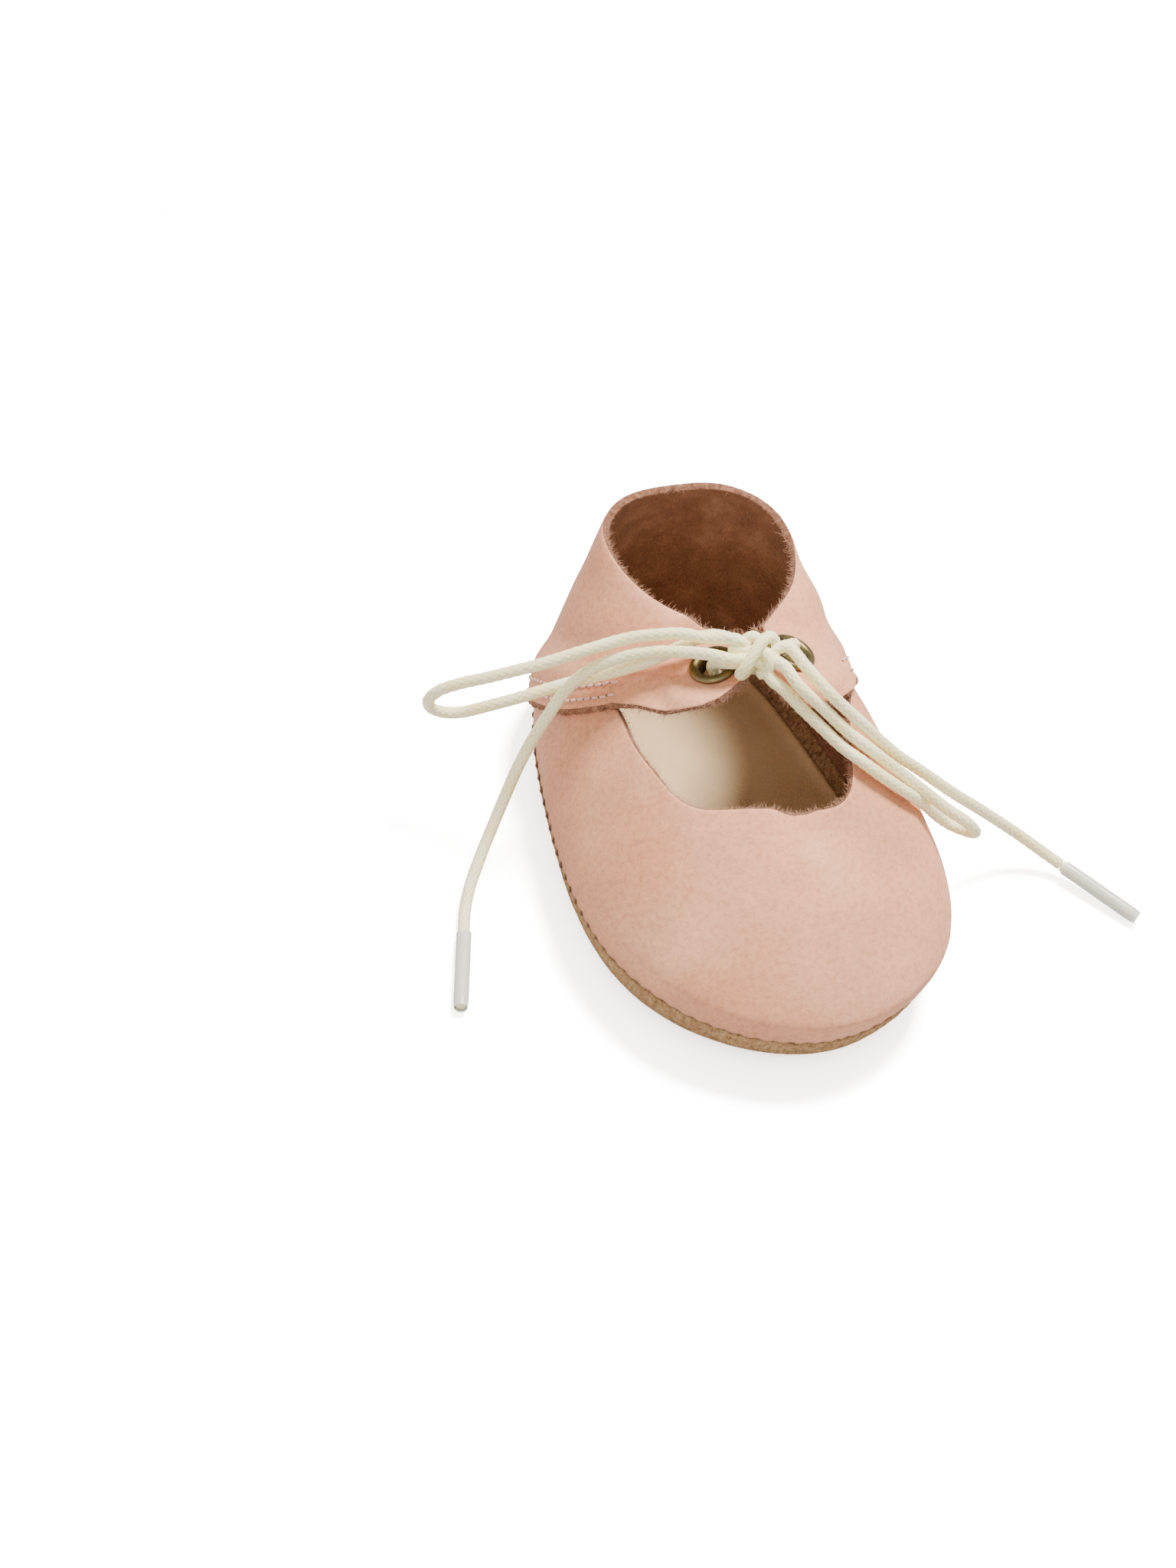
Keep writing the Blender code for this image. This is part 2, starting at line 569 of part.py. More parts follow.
def make_bar(parts):
    """The cord's run under the strap, from the knot down one eyelet and up the other."""
    places = []
    for side, lean in (("outer", 1), ("inner", -1)):
        centre, axis = eyelet_frame(side)
        towards = np.array([lean, -0.55, 0.0]) * CORD
        places.append([
            centre + axis * 1.75 * CORD + towards * 0.95,
            centre + axis * 1.25 * CORD + towards * 0.35,
            centre + axis * 0.3 * CORD,
            centre - axis * 0.9 * CORD,
            centre - axis * 1.7 * CORD + towards * 0.45,
        ])
    under = (places[0][-1] + places[1][-1]) / 2 - np.array([0, 0, 0.2 * CORD])
    route = places[0] + [under] + places[1][::-1]
    return make_tube("lace_bar", smooth_route(route, CORD_STEP * 0.6), CORD, parts, "cord")


def make_knot(parts):
    bm = bmesh.new()
    bmesh.ops.create_uvsphere(bm, u_segments=16, v_segments=10, radius=0.5)
    bmesh.ops.scale(bm, vec=Vector(KNOT), verts=bm.verts)
    bmesh.ops.translate(bm, vec=Vector(KNOT_PLACE), verts=bm.verts)
    mesh = bpy.data.meshes.new("lace_knot")
    bm.to_mesh(mesh)
    bm.free()
    mesh.shade_smooth()
    return add_object("lace_knot", mesh, parts, "cord")


for thing in list(bpy.data.objects):
    bpy.data.objects.remove(thing, do_unlink=True)
MATERIAL = {name: add_material(name) for name in MATERIALS}
parts = bpy.data.collections.new("mary_jane_shoe")
cutters = bpy.data.collections.new("cutters")
for collection in (parts, cutters):
    bpy.context.scene.collection.children.link(collection)
make_upper(parts, cutters)
make_dish("outsole", parts, "sole", 0.0, 0.0, SOLE_LEATHER)
make_dish("insole", parts, "sock", math.radians(35), SOLE_LEATHER + GAP, SOCK_LEATHER, bends=5)
for side in EYELETS:
    make_eyelet(side, parts)
make_bar(parts)
make_knot(parts)
for name, route in ROUTES.items():
    make_tube(name, smooth_route(route, CORD_STEP), CORD, parts, "cord")
for name, ends in AGLET_ENDS.items():
    make_tube(name, smooth_route(ends, CORD_STEP * 2), AGLET, parts, "aglet")
for cutter in cutters.objects:
    cutter.hide_render = True
    cutter.display_type = "WIRE"
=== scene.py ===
import math
import random

import bmesh
import bpy
import numpy as np
from mathutils import Matrix, Vector, noise
from mathutils.bvhtree import BVHTree


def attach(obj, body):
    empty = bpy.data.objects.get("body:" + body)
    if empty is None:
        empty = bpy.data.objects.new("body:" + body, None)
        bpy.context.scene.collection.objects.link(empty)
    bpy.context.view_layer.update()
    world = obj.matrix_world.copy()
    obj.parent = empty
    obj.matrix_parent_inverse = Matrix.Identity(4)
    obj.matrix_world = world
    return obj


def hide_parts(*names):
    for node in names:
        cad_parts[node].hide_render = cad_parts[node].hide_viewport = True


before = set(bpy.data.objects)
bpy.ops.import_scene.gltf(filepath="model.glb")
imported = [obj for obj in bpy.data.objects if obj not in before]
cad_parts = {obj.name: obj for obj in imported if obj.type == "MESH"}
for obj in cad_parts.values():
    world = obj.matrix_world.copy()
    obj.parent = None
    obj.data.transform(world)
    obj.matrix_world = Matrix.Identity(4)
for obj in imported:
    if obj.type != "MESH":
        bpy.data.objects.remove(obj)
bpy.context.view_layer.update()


def stand(name, data):
    thing = bpy.data.objects.new(name, data)
    bpy.context.scene.collection.objects.link(thing)
    return thing


# camera

view = {
    "location": (-0.30816, -0.45212, 0.60285),
    "right": (0.9278, -0.3200, 0.1917),
    "up": (0.1247, 0.7504, 0.6492),
    "lens": 91.41,
}


def makeCamera():
    right, up = Vector(view["right"]).normalized(), Vector(view["up"]).normalized()
    turn = Matrix((right, up, right.cross(up))).transposed().to_4x4()
    data = bpy.data.cameras.new("camera")
    data.lens = view["lens"]
    data.sensor_width = 36.0
    data.clip_start = 0.01
    camera = stand("camera", data)
    camera.matrix_world = Matrix.Translation(view["location"]) @ turn
    bpy.context.scene.camera = camera


makeCamera()
print("camera made")

# last: the same form as the solids

lastSizes = {  # metres
    "length": 0.115, "ballWidth": 0.073,
    "toeSeam": 0.0102, "waistSeam": 0.0070, "heelSeam": 0.0090,
    "vampLength": 0.0378, "vampHeight": 0.0374, "strapHeight": 0.0514,
    "collarFront": 0.0504, "collarBack": 0.0500, "collarWidth": 0.0386, "collarSetBack": 0.0015,
    "leather": 0.0016, "soleLeather": 0.0020, "sockLeather": 0.0018,
    "soleTurn": 0.0070, "waistLift": 0.0004, "lap": 0.0060, "lapFade": 0.0080,
    "gap": 0.0003, "eyeletSeat": 0.0085,
}
length = lastSizes["length"]
leather = lastSizes["leather"]
gap = lastSizes["gap"]

# along, half breadth outside and inside as shares
outlineRows = [
    (0.000, 0.00, 0.00), (0.035, 0.40, 0.46), (0.120, 0.74, 0.80), (0.260, 0.96, 0.98),
    (0.420, 1.00, 0.97), (0.580, 0.95, 0.88), (0.740, 0.86, 0.79), (0.880, 0.68, 0.64),
    (0.965, 0.38, 0.37), (1.000, 0.00, 0.00),
]
toeTip = 0.08
# along, bulge, belly, outer fullness, inner fullness, crown
sectionRows = [
    (0.00, 0.118, 0.59, 1.70, 1.70, 1.15), (0.20, 0.118, 0.69, 1.90, 1.90, 1.25),
    (0.42, 0.118, 0.78, 2.00, 2.00, 1.34), (0.58, 0.100, 0.78, 1.90, 2.65, 1.30),
    (0.72, 0.078, 0.78, 1.90, 3.00, 1.30), (0.86, 0.080, 0.88, 1.67, 1.70, 1.30),
    (1.00, 0.098, 0.98, 1.68, 1.68, 1.40),
]
ridgeRows = [(0.00, 0.00), (0.45, 0.54), (0.78, 1.00), (1.00, 0.93)]
notchAlong, notchW = 0.61, 0.60
collarRows = [
    (0.30, 0.09, 0.10), (0.72, 0.27, 0.34), (1.00, 0.56, 0.66), (0.93, 0.82, 0.88), (0.58, 0.96, 0.98),
]
# round the shoe from the toe, up the wall
vampEdge = {
    "outer": [
        (0.000, 0.925), (0.140, 0.875), (0.220, 0.775), (0.275, 0.680), (0.318, 0.605), (0.362, 0.562),
        (0.412, 0.542), (0.504, 0.518), (0.585, 0.512), (0.640, 0.465), (0.700, 0.330), (0.760, 0.195),
        (0.820, 0.055),
    ],
    "inner": [
        (0.000, 0.925), (0.140, 0.842), (0.220, 0.735), (0.275, 0.705), (0.350, 0.705), (0.400, 0.700),
        (0.460, 0.665), (0.520, 0.610), (0.580, 0.550), (0.660, 0.420), (0.740, 0.235), (0.820, 0.055),
    ],
}
# share, lower edge, upper edge
heelPiece = {
    "outer": [
        (0.00, 0.495, 0.976, 0.545, 0.978), (0.03, 0.452, 0.956, 0.582, 0.980),
        (0.07, 0.430, 0.905, 0.602, 0.984), (0.13, 0.432, 0.840, 0.614, 0.992),
        (0.20, 0.452, 0.765, 0.626, 1.000), (0.28, 0.508, 0.658, 0.645, 1.000),
        (0.36, 0.562, 0.575, 0.672, 1.000), (0.42, 0.598, 0.505, 0.695, 1.000),
        (0.55, 0.648, 0.360, 0.745, 1.000), (0.67, 0.700, 0.240, 0.790, 1.000),
        (0.78, 0.748, 0.110, 0.835, 1.000), (0.85, 0.785, 0.000, 0.865, 1.000),
        (1.00, 1.000, 0.000, 1.000, 1.000),
    ],
    "inner": [
        (0.00, 0.445, 0.990, 0.530, 0.982), (0.03, 0.385, 0.988, 0.575, 0.982),
        (0.07, 0.354, 0.966, 0.600, 0.984), (0.13, 0.358, 0.905, 0.614, 0.992),
        (0.20, 0.388, 0.840, 0.626, 1.000), (0.28, 0.430, 0.750, 0.645, 1.000),
        (0.36, 0.480, 0.670, 0.672, 1.000), (0.42, 0.535, 0.600, 0.695, 1.000),
        (0.55, 0.605, 0.425, 0.745, 1.000), (0.67, 0.675, 0.270, 0.790, 1.000),
        (0.78, 0.740, 0.115, 0.835, 1.000), (0.85, 0.785, 0.000, 0.865, 1.000),
        (1.00, 1.000, 0.000, 1.000, 1.000),
    ],
}
frontEdge = (0.42, 0.85)
eyelets = {"outer": (0.532, 0.858), "inner": (0.524, 0.878)}


def column(table, index):
    return np.array([row[index] for row in table], float)


def unit(v):
    return v / np.maximum(np.linalg.norm(v, axis=-1, keepdims=True), 1e-12)


# a curve through a table's rows that never swings past them
def ease(table, index, x):
    xs, ys = column(table, 0), column(table, index)
    run = np.diff(xs)
    rise = np.diff(ys) / run
    slope = np.zeros_like(ys)
    for i in range(1, len(xs) - 1):
        if rise[i - 1] * rise[i] > 0:
            before, after = 2 * run[i] + run[i - 1], run[i] + 2 * run[i - 1]
            slope[i] = (before + after) / (before / rise[i - 1] + after / rise[i])
    x = np.clip(x, xs[0], xs[-1])
    i = np.clip(np.searchsorted(xs, x, side="right") - 1, 0, len(xs) - 2)
    t = (x - xs[i]) / run[i]
    keep = (1 + 2 * t) * (1 - t) ** 2 * ys[i] + t * t * (3 - 2 * t) * ys[i + 1]
    lean = t * (1 - t) ** 2 * slope[i] - t * t * (1 - t) * slope[i + 1]
    return keep + lean * run[i]


def closedSpline(points):
    points = np.asarray(points, float)
    count = len(points)
    chord = np.linalg.norm(np.roll(points, -1, 0) - points, axis=1)
    system = np.zeros((count, count))
    right = np.zeros_like(points)
    for i in range(count):
        before, after = chord[i - 1], chord[i]
        system[i, i - 1] += before / 6
        system[i, i] += (before + after) / 3
        system[i, (i + 1) % count] += after / 6
        right[i] = (points[(i + 1) % count] - points[i]) / after - (points[i] - points[i - 1]) / before
    bend = np.linalg.solve(system, right)
    knots = np.concatenate([[0.0], np.cumsum(chord)])

    def read(s):
        s = np.mod(s, knots[-1])
        i = np.clip(np.searchsorted(knots, s, side="right") - 1, 0, count - 1)
        j = (i + 1) % count
        a, b, h = (knots[i + 1] - s)[:, None], (s - knots[i])[:, None], chord[i][:, None]
        cubic = (bend[i] * a ** 3 + bend[j] * b ** 3) / (6 * h)
        return cubic + (points[i] / h - bend[i] * h / 6) * a + (points[j] / h - bend[j] * h / 6) * b

    return read, knots


def outlineCurve():
    half = lastSizes["ballWidth"] / 2
    innerRows = outlineRows[1:-1]
    points = [(toeTip * half, -length / 2)]
    points += [(-outer * half, (along - 0.5) * length) for along, outer, inner in innerRows]
    points.append((0.0, length / 2))
    points += [(inner * half, (along - 0.5) * length) for along, outer, inner in innerRows[::-1]]
    read, knots = closedSpline(points)
    return read, knots[len(outlineRows) - 1], knots[-1]


def collarCurve():
    front = (0.0, (notchAlong - 0.5) * length, lastSizes["collarFront"])
    run = length / 2 - lastSizes["collarSetBack"] - front[1]
    drop = lastSizes["collarBack"] - lastSizes["collarFront"]
    half = lastSizes["collarWidth"] / 2
    side = [(half * x, front[1] + run * y, front[2] + drop * z) for x, y, z in collarRows]
    back = (0.0, front[1] + run, lastSizes["collarBack"])
    points = [front] + [(-x, y, z) for x, y, z in side] + [back] + side[::-1]
    read, knots = closedSpline(points)
    return read, knots[len(side) + 1]


seamLine, seamToHeel, seamRound = outlineCurve()
collarLine, collarHalf = collarCurve()


# w runs once round the shoe: 0 at the toe, 1 at the heel, 2 at the toe again
def seamRun(w):
    return np.where(w <= 1, w * seamToHeel, seamToHeel + (w - 1) * (seamRound - seamToHeel))


def seamPoint(w):
    foot = seamLine(seamRun(w))
    return foot, np.clip(foot[:, 1] / length + 0.5, 0, 1)


def seamHeight(along):
    toe, waist, heel = lastSizes["toeSeam"], lastSizes["waistSeam"], lastSizes["heelSeam"]
    table = [
        (0, toe), (0.3, (toe + waist) / 2), (0.55, waist), (0.75, waist + 0.25 * (heel - waist)), (1, heel),
    ]
    return ease(table, 1, along)


def topLine(w):
    t = np.where(w <= 1, w, 2 - w)
    k = np.clip(t / notchW, 0, 1)
    share = k ** 1.6 / (k ** 1.6 + 0.9 * (1 - k))
    front = -length / 2 + lastSizes["vampLength"] + leather
    low, climb = lastSizes["vampHeight"], lastSizes["strapHeight"] - lastSizes["vampHeight"]
    ridge = np.zeros((len(w), 3))
    ridge[:, 1] = front + ((notchAlong - 0.5) * length - front) * share
    ridge[:, 2] = low + climb * ease(ridgeRows, 1, share)
    notch = np.clip((share - ridgeRows[-2][0]) / (1 - ridgeRows[-2][0]), 0, 1)
    rise = lastSizes["collarFront"] - low - climb * ridgeRows[-1][1]
    ridge[:, 2] += rise * notch ** 2 * (3 - 2 * notch)
    tau = np.clip((t - notchW) / (1 - notchW), 0, 1)
    collar = collarLine(np.where(w <= 1, tau, -tau) * collarHalf)
    return np.where((t > notchW)[:, None], collar, ridge)


# points on the last: w round the shoe, b up the wall from the sole seam to the top line
def lastPoints(w, b):
    w, b = np.mod(np.asarray(w, float).ravel(), 2), np.asarray(b, float).ravel()
    if len(w) > 6000:
        cuts = range(0, len(w), 6000)
        return np.concatenate([lastPoints(w[i:i + 6000], b[i:i + 6000]) for i in cuts])
    foot, along = seamPoint(w)
    top = topLine(w)
    seam = seamHeight(along)
    toe = lastSizes["toeSeam"]
    bulge, belly = ease(sectionRows, 1, along) * toe, ease(sectionRows, 2, along) * toe
    full = np.where(w <= 1, ease(sectionRows, 3, along), ease(sectionRows, 4, along))
    crown = ease(sectionRows, 5, along)
    way = top[:, :2] - foot
    reach = np.linalg.norm(way, axis=1)
    way = unit(way)
    low = np.linspace(0, 1, 12)[None]
    turn = np.linspace(0, math.pi / 2, 48)[None, 1:]
    wide, high = (reach + bulge)[:, None], (top[:, 2] - seam - belly)[:, None]
    side = np.hstack([-bulge[:, None] * (1 - (1 - low) ** 2),
                      wide * (1 - np.clip(np.cos(turn), 0, 1) ** (2 / full[:, None])) - bulge[:, None]])
    height = np.hstack([seam[:, None] + belly[:, None] * low,
                        (seam + belly)[:, None] + high * np.sin(turn) ** (2 / crown[:, None])])
    arc = np.hstack([np.zeros((len(w), 1)), np.cumsum(np.hypot(np.diff(side), np.diff(height)), axis=1)])
    target = b * arc[:, -1]
    i = np.clip((arc <= target[:, None]).sum(axis=1) - 1, 0, arc.shape[1] - 2)
    row = np.arange(len(w))
    t = ((target - arc[row, i]) / (arc[row, i + 1] - arc[row, i]))[:, None]
    pair = np.stack([side, height], axis=2)
    flat = pair[row, i] * (1 - t) + pair[row, i + 1] * t
    return np.column_stack([foot + way * flat[:, :1], flat[:, 1]])


def outward(w, b, step=0.004):
    w, b = np.asarray(w, float).ravel(), np.asarray(b, float).ravel()
    up = lastPoints(w, np.clip(b + step, 0, 1)) - lastPoints(w, np.clip(b - step, 0, 1))
    normal = np.cross(up, lastPoints(w + step, b) - lastPoints(w - step, b))
    return unit(normal)


def smoothStep(x):
    x = np.clip(x, 0, 1)
    return x * x * (3 - 2 * x)


def signedW(side, t):
    return t if side == "outer" else 2 - t


def eyeletFrame(side):
    t, b = eyelets[side]
    w = signedW(side, t)
    return lastPoints([w], [b])[0], outward([w], [b], 0.03)[0]


# materials, all in the shoe's own coordinates


class Finish:
    def __init__(self, name, slot):
        self.material = bpy.data.materials.new(name)
        self.material.use_nodes = True
        self.slot = slot
        self.nodes = self.material.node_tree.nodes
        self.links = self.material.node_tree.links
        self.shader = self.nodes["Principled BSDF"]
        self.place = self.nodes.new("ShaderNodeTexCoord").outputs["Object"]

    def link(self, source, target):
        self.links.new(source, target)

    def noise(self, scale, detail=3.0, rough=0.55, stretch=None):
        node = self.nodes.new("ShaderNodeTexNoise")
        node.inputs["Scale"].default_value = scale
        node.inputs["Detail"].default_value = detail
        node.inputs["Roughness"].default_value = rough
        place = self.place
        if stretch:
            mapping = self.nodes.new("ShaderNodeMapping")
            mapping.inputs["Scale"].default_value = stretch
            self.link(place, mapping.inputs["Vector"])
            place = mapping.outputs["Vector"]
        self.link(place, node.inputs["Vector"])
        return node.outputs["Fac"]

    def cells(self, scale):
        node = self.nodes.new("ShaderNodeTexVoronoi")
        node.inputs["Scale"].default_value = scale
        self.link(self.place, node.inputs["Vector"])
        return node.outputs["Distance"]

    def attribute(self, name):
        node = self.nodes.new("ShaderNodeAttribute")
        node.attribute_name = name
        return node.outputs["Fac"]

    def remap(self, source, low, high, toLow=0.0, toHigh=1.0):
        node = self.nodes.new("ShaderNodeMapRange")
        node.inputs["From Min"].default_value = low
        node.inputs["From Max"].default_value = high
        node.inputs["To Min"].default_value = toLow
        node.inputs["To Max"].default_value = toHigh
        self.link(source, node.inputs["Value"])
        return node.outputs["Result"]

    def ramp(self, source, stops):
        node = self.nodes.new("ShaderNodeValToRGB")
        band = node.color_ramp
        while len(band.elements) < len(stops):
            band.elements.new(0.5)
        for element, (place, colour) in zip(band.elements, stops):
            element.position = place
            element.color = (*colour, 1)
        self.link(source, node.inputs["Fac"])
        return node.outputs["Color"]

    def mix(self, factor, first, second, blend="MIX"):
        node = self.nodes.new("ShaderNodeMix")
        node.data_type = "RGBA"
        node.blend_type = blend
        # a colour mix keeps its factor at socket 0 and its colours at 6 and 7
        for socket, value in ((node.inputs[0], factor), (node.inputs[6], first), (node.inputs[7], second)):
            if isinstance(value, bpy.types.NodeSocket):
                self.link(value, socket)
            elif isinstance(value, tuple):
                socket.default_value = (*value, 1)
            else:
                socket.default_value = value
        return node.outputs[2]

    def bump(self, source, strength, distance, after=None):
        node = self.nodes.new("ShaderNodeBump")
        node.inputs["Strength"].default_value = strength
        node.inputs["Distance"].default_value = distance
        self.link(source, node.inputs["Height"])
        if after is not None:
            self.link(after, node.inputs["Normal"])
        return node.outputs["Normal"]

    def finish(self, colour, roughness, normal=None, metallic=0.0, sheen=0.0, sheenTint=(1, 1, 1),
               spec=0.5):
        if isinstance(colour, tuple):
            self.shader.inputs["Base Color"].default_value = (*colour, 1)
        else:
            self.link(colour, self.shader.inputs["Base Color"])
        if isinstance(roughness, float):
            self.shader.inputs["Roughness"].default_value = roughness
        else:
            self.link(roughness, self.shader.inputs["Roughness"])
        self.shader.inputs["Metallic"].default_value = metallic
        self.shader.inputs["Specular IOR Level"].default_value = spec
        self.shader.inputs["Sheen Weight"].default_value = sheen
        self.shader.inputs["Sheen Tint"].default_value = (*sheenTint, 1)
        if normal is not None:
            self.link(normal, self.shader.inputs["Normal"])
        return self.material


def nubuckFinish():
    f = Finish("nubuck", "leather")
    patches = f.ramp(f.noise(42, 4), [
        (0.30, (0.66, 0.272, 0.138)), (0.50, (0.72, 0.318, 0.170)), (0.70, (0.78, 0.374, 0.206))])
    speckle = f.ramp(f.noise(900, 4, 0.75), [(0.36, (0.80, 0.76, 0.74)), (0.56, (1.0, 1.0, 1.0))])
    colour = f.mix(1.0, patches, speckle, "MULTIPLY")
    pores = f.remap(f.cells(1150), 0.0, 0.16, 0.0, 1.0)
    colour = f.mix(f.remap(pores, 0, 1, 0.22, 0.0), colour, (0.40, 0.20, 0.15))
    # darker in a narrow band along the sole seam
    colour = f.mix(f.remap(f.attribute("darkAtSoleSeam"), 0, 1, 0.0, 0.45), colour, (0.50, 0.25, 0.19))
    normal = f.bump(f.noise(2600, 4, 0.7), 0.22, 0.0002)
    normal = f.bump(pores, 0.10, 0.0002, normal)
    normal = f.bump(f.noise(260, 3), 0.25, 0.0006, normal)
    rough = f.remap(f.noise(60, 2), 0.3, 0.7, 0.62, 0.78)
    return f.finish(colour, rough, normal, sheen=0.05, sheenTint=(1, 0.7, 0.6), spec=0.22)


def fleshFinish():
    f = Finish("flesh_side", "leather")
    colour = f.ramp(f.noise(120, 5, 0.65), [
        (0.30, (0.175, 0.070, 0.032)), (0.55, (0.285, 0.124, 0.060)), (0.75, (0.43, 0.212, 0.116))])
    nap = f.noise(1900, 4, 0.75, (1, 1, 0.45))
    colour = f.mix(f.remap(nap, 0.45, 0.75, 0.0, 0.35), colour, (0.38, 0.22, 0.14))
    normal = f.bump(nap, 0.7, 0.0004)
    return f.finish(colour, 0.95, normal, sheen=0.15, sheenTint=(0.8, 0.45, 0.3), spec=0.12)


def rawEdgeFinish():
    f = Finish("raw_edge", "leather")
    colour = f.ramp(f.noise(800, 5, 0.7), [
        (0.30, (0.15, 0.056, 0.026)), (0.50, (0.28, 0.118, 0.062)), (0.72, (0.52, 0.255, 0.155))])
    normal = f.bump(f.noise(3000, 5, 0.8), 0.9, 0.0004)
    return f.finish(colour, 0.95, normal, sheen=0.1, sheenTint=(0.9, 0.6, 0.5), spec=0.12)


def soleFinish():
    f = Finish("sole_suede", "sole")
    colour = f.ramp(f.noise(1000, 6, 0.72, (1, 1, 0.7)), [
        (0.32, (0.13, 0.062, 0.022)), (0.46, (0.40, 0.215, 0.090)), (0.70, (0.66, 0.41, 0.20))])
    colour = f.mix(f.remap(f.noise(90, 4), 0.35, 0.65, 0.0, 0.35), colour, (0.34, 0.19, 0.085))
    normal = f.bump(f.noise(1500, 5, 0.75), 0.8, 0.0005)
    return f.finish(colour, 0.95, normal, sheen=0.08, sheenTint=(0.9, 0.7, 0.4), spec=0.12)


def sockFinish():
    f = Finish("sock_leather", "sock")
    colour = f.ramp(f.noise(38, 4), [
        (0.30, (0.58, 0.350, 0.145)), (0.55, (0.68, 0.440, 0.205)), (0.75, (0.73, 0.495, 0.250))])
    colour = f.mix(f.remap(f.noise(600, 4, 0.7), 0.4, 0.7, 0.0, 0.2), colour, (0.48, 0.33, 0.19))
    normal = f.bump(f.noise(1600, 3), 0.15, 0.0003)
    return f.finish(colour, 0.62, normal, spec=0.4)


def brassFinish():
    f = Finish("antique_brass", "brass")
    colour = f.ramp(f.noise(500, 4), [(0.3, (0.050, 0.036, 0.012)), (0.7, (0.120, 0.088, 0.032))])
    colour = f.mix(f.remap(f.attribute("wear"), 0.0, 1.0, 0.0, 0.75), colour, (0.30, 0.235, 0.11))
    rough = f.remap(f.noise(900, 3), 0.3, 0.7, 0.28, 0.48)
    return f.finish(colour, rough, f.bump(f.noise(1500, 3), 0.12, 0.0001), metallic=1.0)


def cordFinish():
    f = Finish("waxed_braid", "cord")
    # painted shade: the braid's grooves are coloured darker than its strand tops
    colour = f.ramp(f.attribute("grooveShade"), [
        (0.0, (0.64, 0.47, 0.16)), (0.45, (0.95, 0.81, 0.38)), (1.0, (0.99, 0.90, 0.50))])
    colour = f.mix(f.remap(f.noise(160, 3), 0.35, 0.65, 0.0, 0.3), colour, (0.93, 0.91, 0.80))
    normal = f.bump(f.noise(5200, 3, 0.7), 0.25, 0.0001)
    return f.finish(colour, 0.58, normal, sheen=0.05, spec=0.35)


def threadFinish(name, colour):
    f = Finish(name, "leather")
    return f.finish(colour, 0.6, f.bump(f.noise(6000, 2), 0.3, 0.0001), sheen=0.2)


def filmFinish():
    f = Finish("tip_film", "aglet")
    f.finish((0.93, 0.94, 0.90), 0.22, spec=0.6)
    f.shader.inputs["Transmission Weight"].default_value = 0.55
    f.shader.inputs["IOR"].default_value = 1.42
    return f.material


finishes = {
    "nubuck": nubuckFinish(), "flesh": fleshFinish(), "rawEdge": rawEdgeFinish(), "sole": soleFinish(),
    "sock": sockFinish(), "brass": brassFinish(), "cord": cordFinish(), "film": filmFinish(),
    "pinkThread": threadFinish("pink_thread", (0.70, 0.40, 0.32)),
    # the brown thread colour also serves as the painted shade in the needle holes
    "brownThreadAndHoleShade": threadFinish("brown_thread_and_hole_shade", (0.17, 0.085, 0.04)),
    "fibre": threadFinish("fibre", (0.50, 0.25, 0.145)),
    "cordFibre": threadFinish("cord_fibre", (0.90, 0.88, 0.78)),
}
print("materials made")

# meshes


def addPiece(name, mesh, slots, replaced):
    piece = stand(name, mesh)
    for slot in slots:
        mesh.materials.append(finishes[slot])
    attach(piece, "root")
    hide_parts(*replaced)
    return piece


def meshFrom(name, points, faces, kinds=None):
    mesh = bpy.data.meshes.new(name)
    mesh.from_pydata([tuple(p) for p in points], [], [tuple(f) for f in faces])
    if kinds is not None:
        mesh.polygons.foreach_set("material_index", np.asarray(kinds, np.int32))
    mesh.shade_smooth()
    mesh.update()
    return mesh


def setAttribute(mesh, name, values):
    layer = mesh.attributes.new(name, "FLOAT", "POINT")
    layer.data.foreach_set("value", np.asarray(values, np.float32).ravel())


def gridNormals(grid):
    normal = np.cross(np.gradient(grid, axis=1), np.gradient(grid, axis=0))
    size = np.linalg.norm(normal, axis=2, keepdims=True)
    return normal / np.where(size > 1e-12, size, 1)


def fieldNoise(points, scale, seed):
    shift = Vector((seed * 3.7, seed * 1.3, seed * 7.9))
    values = [noise.noise(Vector(p) * scale + shift) for p in points.reshape(-1, 3)]
    return np.array(values).reshape(points.shape[:-1])


def segmentDistance(points, a, b):
    a, b = np.asarray(a), np.asarray(b)
    way = b - a
    t = np.clip(((points - a) @ way) / (way @ way), 0, 1)
    return np.linalg.norm(points - a - t[..., None] * way, axis=-1), t


def quadsOf(index, after):
    return np.stack([index[:, :-1], index[:, 1:], after[:, 1:], after[:, :-1]], axis=2)


